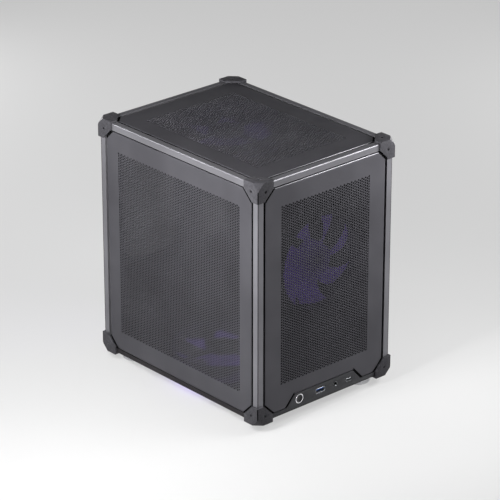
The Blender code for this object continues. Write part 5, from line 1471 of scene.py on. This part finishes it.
# %% [markdown]
# The type C shell is a flat tube with round ends, and its thin tongue carries a row of contacts
# on each face.

# %% Type C port
USB_C_X = 0.0393
USB_C_Z = 0.0231


def slot_outline(width, height, steps=8):
    """Counter-clockwise outline of a flat slot with round ends."""
    return rounded_rectangle((0.0, 0.0), (width, height), height / 2 - 1e-6, steps)


outer = slot_outline(0.0094, 0.0036)
inner = slot_outline(0.0086, 0.0028)
shell = shell_shape(outer, inner, -0.009, 0.0, 0.0004)
make_piece(
    "type_c_port_shell", [shell], at_front(USB_C_X, USB_C_Z),
    "chassis", "port_steel", ["usb_c_shell"],
)
parts = [
    soft_slab(slot_outline(0.0082, 0.0024), -0.009, -0.007, 0.0002),
    soft_slab(rounded_rectangle((0.0, 0.0), (0.0046, 0.0007), 0.0002, 3), -0.008, -0.0008, 0.0002),
]
make_piece(
    "type_c_port_tongue", parts, at_front(USB_C_X, USB_C_Z),
    "chassis", "port_black", ["usb_c_tongue"],
)
parts = []
for side in (-1, 1):
    for k in range(8):
        x = (k - 3.5) * 0.0005
        strip = rounded_rectangle((x, side * 0.00036), (0.00026, 0.0001), 0.00004, 2)
        parts.append(slab(strip, -0.006, -0.0014))
make_piece(
    "type_c_port_contacts", parts, at_front(USB_C_X, USB_C_Z),
    "chassis", "port_steel", finish="contact_gold",
)

# %% [markdown]
# The jack is a black block with a bore behind the bar. Its nose stands a little proud and has a
# thin metal ring let into its mouth.

# %% Audio jack
JACK_X = 0.0178
JACK_Z = 0.0248
nose_profile = [
    (0.0018, -0.0110), (0.0018, -0.0004), (0.0020, 0.0), (0.0024, 0.0003), (0.0028, 0.0003),
    (0.0030, 0.0), (0.0030, -0.0035), (0.0030, -0.0110),
]
body = rounded_rectangle((0.0, 0.0), (0.007, 0.007), 0.0005, 3)
bore = ring_outline((0.0, 0.0), 0.0018, 32)
parts = [
    turned(nose_profile, 32), pierced(body, [bore], -0.011, -0.0023),
    slab(body, -0.013, -0.011),
]
make_piece(
    "audio_jack_body", parts, at_front(JACK_X, JACK_Z),
    "chassis", "port_black", ["audio_jack"],
)
mouth_profile = [
    (0.00185, -0.0004), (0.0026, 0.00042), (0.0028, 0.00042), (0.0028, 0.0003), (0.0024, 0.0002),
    (0.00195, -0.0004),
]
make_piece(
    "audio_jack_ring", [turned(mouth_profile, 32)], at_front(JACK_X, JACK_Z),
    "chassis", "port_black", finish="port_steel",
)
print("ports made")

# %% [markdown]
# ## Small parts inside and at the rear
# These don't show in the photograph, but a case without them would look unfinished from behind or
# with a panel off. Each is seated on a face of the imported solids.
#
# ### Thumb screws
# A thumb screw has a knurled rim for the fingers, so its radius alternates round the head, and a
# shallow recess in its end.

# %% Thumb screws
def knurled_screw(steps=40):
    """A screw with a knurled head above local Z = 0 and a shank below."""
    rings = [
        (0.0016, -0.0040, 0.0), (0.0016, 0.0, 0.0), (0.0035, 0.0, 0.0), (0.0037, 0.0005, 0.00025),
        (0.0037, 0.0043, 0.00025), (0.0035, 0.0049, 0.0), (0.0024, 0.0050, 0.0),
        (0.0021, 0.0040, 0.0),
    ]
    points = []
    for radius, height, knurl in rings:
        for k in range(steps):
            reach = radius + (knurl if k % 2 else -knurl)
            angle = math.tau * k / steps
            points.append((reach * math.cos(angle), reach * math.sin(angle), height))
    return points, [cap(steps), *bands(steps, len(rings)), cap(steps, len(rings) - 1)]


for index in range(1, 5):
    low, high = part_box(f"slot_screw_{index}")
    place = Vector((high[0] - 0.0040, (low[1] + high[1]) / 2, (low[2] + high[2]) / 2))
    where = Matrix.Translation(place) @ Matrix.Rotation(-math.pi / 2, 4, "Y")
    make_piece(
        f"thumb_screw_{index}", [knurled_screw()], where,
        "chassis", "screw_steel", [f"slot_screw_{index}"], degrees=20.0,
    )
    print("thumb screw", index, "at", [round(value, 4) for value in place])

# %% [markdown]
# ### Slot covers
# A covered slot should still let air out. Each cover gets a raised plate with a row of hexagons.

# %% Raised plates on the slot covers
BACKWARDS = Matrix.Rotation(-math.pi / 2, 4, "X")
PLATE_SIZE = (0.0800, 0.0096)
HEX_REACH = 0.0021
HEX_PITCH = 0.0052
HEX_ROW = 0.00225
HEX_COLUMNS = 14
hexes = []
for row in (-1, 1):
    for column in range(HEX_COLUMNS):
        along = (column - (HEX_COLUMNS - 1) / 2) * HEX_PITCH + row * HEX_PITCH / 4
        hexes.append(hexagon((along, row * HEX_ROW), HEX_REACH, 30))
plate = pierced(rounded_rectangle((0.0, 0.0), PLATE_SIZE, 0.0015), hexes, 0.0, 0.0006)
for index in range(1, 5):
    low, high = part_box(f"slot_cover_{index}")
    where = Matrix.Translation((0.026, low[1] + 0.0010, (low[2] + high[2]) / 2)) @ BACKWARDS
    make_piece(f"slot_cover_plate_{index}", [plate], where, "chassis", "inner_paint")
print("holes in each plate:", len(hexes))

# %% [markdown]
# ### Standoffs and grommets
# A board is screwed to brass inserts in the nine standoffs. Cables pass through two slots in the
# tray, and a rubber grommet covers the sharp edge of each.

# %% Inserts and grommets
TOWARDS_LEFT = Matrix.Rotation(-math.pi / 2, 4, "Y")
insert_profile = [
    (0.0013, -0.0030), (0.0022, -0.0030), (0.0022, 0.0), (0.0020, 0.0004), (0.0015, 0.0004),
    (0.0013, 0.0002),
]
FROM_REAR = (0.0102, 0.1651, 0.2375)
FROM_TOP = (0.0102, 0.1651, 0.2286)
tray_low, tray_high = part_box("board_tray")
parts = []
for from_rear in FROM_REAR:
    for from_top in FROM_TOP:
        place = (tray_low[0], tray_high[1] - from_rear, TOP_Z - 0.026 - from_top)
        parts.append(placed([turned(insert_profile, 20)], Matrix.Translation(place) @ TOWARDS_LEFT))
make_piece("standoff_inserts", parts, IN_PLACE, "chassis", "port_steel", finish="contact_gold")

SLOT_SIZE = (0.014, 0.055)
ALONG_TRAY = Matrix(((0, 0, 1, 0), (1, 0, 0, 0), (0, 1, 0, 0), (0, 0, 0, 1)))
for name, height in (("upper", 0.228), ("lower", 0.088)):
    outer = rounded_rectangle((0.0, 0.0), (SLOT_SIZE[0] + 0.005, SLOT_SIZE[1] + 0.005), 0.003)
    inner = rounded_rectangle((0.0, 0.0), (SLOT_SIZE[0] - 0.002, SLOT_SIZE[1] - 0.002), 0.002)
    where = Matrix.Translation((tray_high[0] - 0.0006, -0.09475, height)) @ ALONG_TRAY
    parts = [pierced(outer, [inner], -0.0016, -0.0006), pierced(outer, [inner], 0.0006, 0.0014)]
    narrow = rounded_rectangle((0.0, 0.0), (SLOT_SIZE[0] - 0.0002, SLOT_SIZE[1] - 0.0002), 0.002)
    parts.append(pierced(narrow, [inner], -0.0007, 0.0007))
    make_piece(f"cable_grommet_{name}", parts, where, "chassis", "pad_rubber")
print("inserts:", len(FROM_REAR) * len(FROM_TOP), "grommets: 2")

# %% [markdown]
# ### Screws of the fans and of the rear panel
# The same cap screw as on the protectors, a little bigger, holds each fan by its four corners and
# the rear panel along its two upright sides.

# %% Fan screws and rear panel screws
cap_screw = socket_screw(0.0032, 0.0017, -0.0010, 0.0013, 0.0010)
FAN_SCREWS = {
    "front_fan": ((0.0, -0.12725, 0.181), Matrix.Rotation(math.pi / 2, 4, "X")),
    "top_fan": ((0.0, 0.032, 0.2980), IN_PLACE),
    "base_fan": ((-0.030, 0.006, 0.0395), IN_PLACE),
}
for name, (place, turn) in FAN_SCREWS.items():
    parts = []
    for x in (-SCREW_PLACE, SCREW_PLACE):
        for y in (-SCREW_PLACE, SCREW_PLACE):
            parts.append(placed([cap_screw], Matrix.Translation((x, y, 0.0))))
    make_piece(f"{name}_screws", parts, Matrix.Translation(place) @ turn, "chassis", "screw_steel")
REAR_SCREW_X = 0.0885
REAR_SCREW_Y = 0.12295
REAR_SCREW_HEIGHTS = (0.024, 0.1245, 0.287)
parts = []
for x in (-REAR_SCREW_X, REAR_SCREW_X):
    for z in REAR_SCREW_HEIGHTS:
        where = Matrix.Translation((x, REAR_SCREW_Y, z)) @ BACKWARDS
        parts.append(placed([cap_screw], where))
make_piece("rear_panel_screws", parts, IN_PLACE, "chassis", "screw_steel")
print("fan and rear panel screws:", 4 * len(FAN_SCREWS) + len(parts))

# %% [markdown]
# ### Parts on the port board
# A few small packages and a connector sit on the circuit board behind the ports.

# %% Port board parts
board_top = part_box("io_board")[1][2]
parts = []
for x, y, size_x, size_y, height in (
    (0.008, -0.1180, 0.0060, 0.0040, 0.0012), (0.026, -0.1170, 0.0040, 0.0040, 0.0010),
    (0.031, -0.1160, 0.0016, 0.0008, 0.0006), (0.0345, -0.1160, 0.0016, 0.0008, 0.0006),
    (-0.018, -0.1260, 0.0024, 0.0030, 0.0010),
):
    body = rounded_rectangle((x, y), (size_x, size_y), 0.0002, 2)
    parts.append(soft_slab(body, board_top - 0.0001, board_top + height, 0.0002))
make_piece("port_board_chips", parts, IN_PLACE, "chassis", "port_black")
HEADER_X = -0.016
HEADER_Y = -0.1175
outer = rounded_rectangle((HEADER_X, HEADER_Y), (0.0150, 0.0060), 0.0004, 2)
inner = rounded_rectangle((HEADER_X, HEADER_Y), (0.0136, 0.0046), 0.0003, 2)
header = [pierced(outer, [inner], board_top, board_top + 0.0050)]
header.append(slab(outer, board_top - 0.0001, board_top + 0.0008))
make_piece("port_board_header", header, IN_PLACE, "chassis", "port_blue")
parts = []
for column in range(9):
    for row in (-1, 1):
        place = (HEADER_X + (column - 4) * 0.0014, HEADER_Y + row * 0.0009)
        pin = rounded_rectangle(place, (0.0005, 0.0005), 0.0001, 2)
        parts.append(slab(pin, board_top + 0.0007, board_top + 0.0042))
make_piece("port_board_pins", parts, IN_PLACE, "chassis", "port_steel", finish="contact_gold")
print("port board parts made")
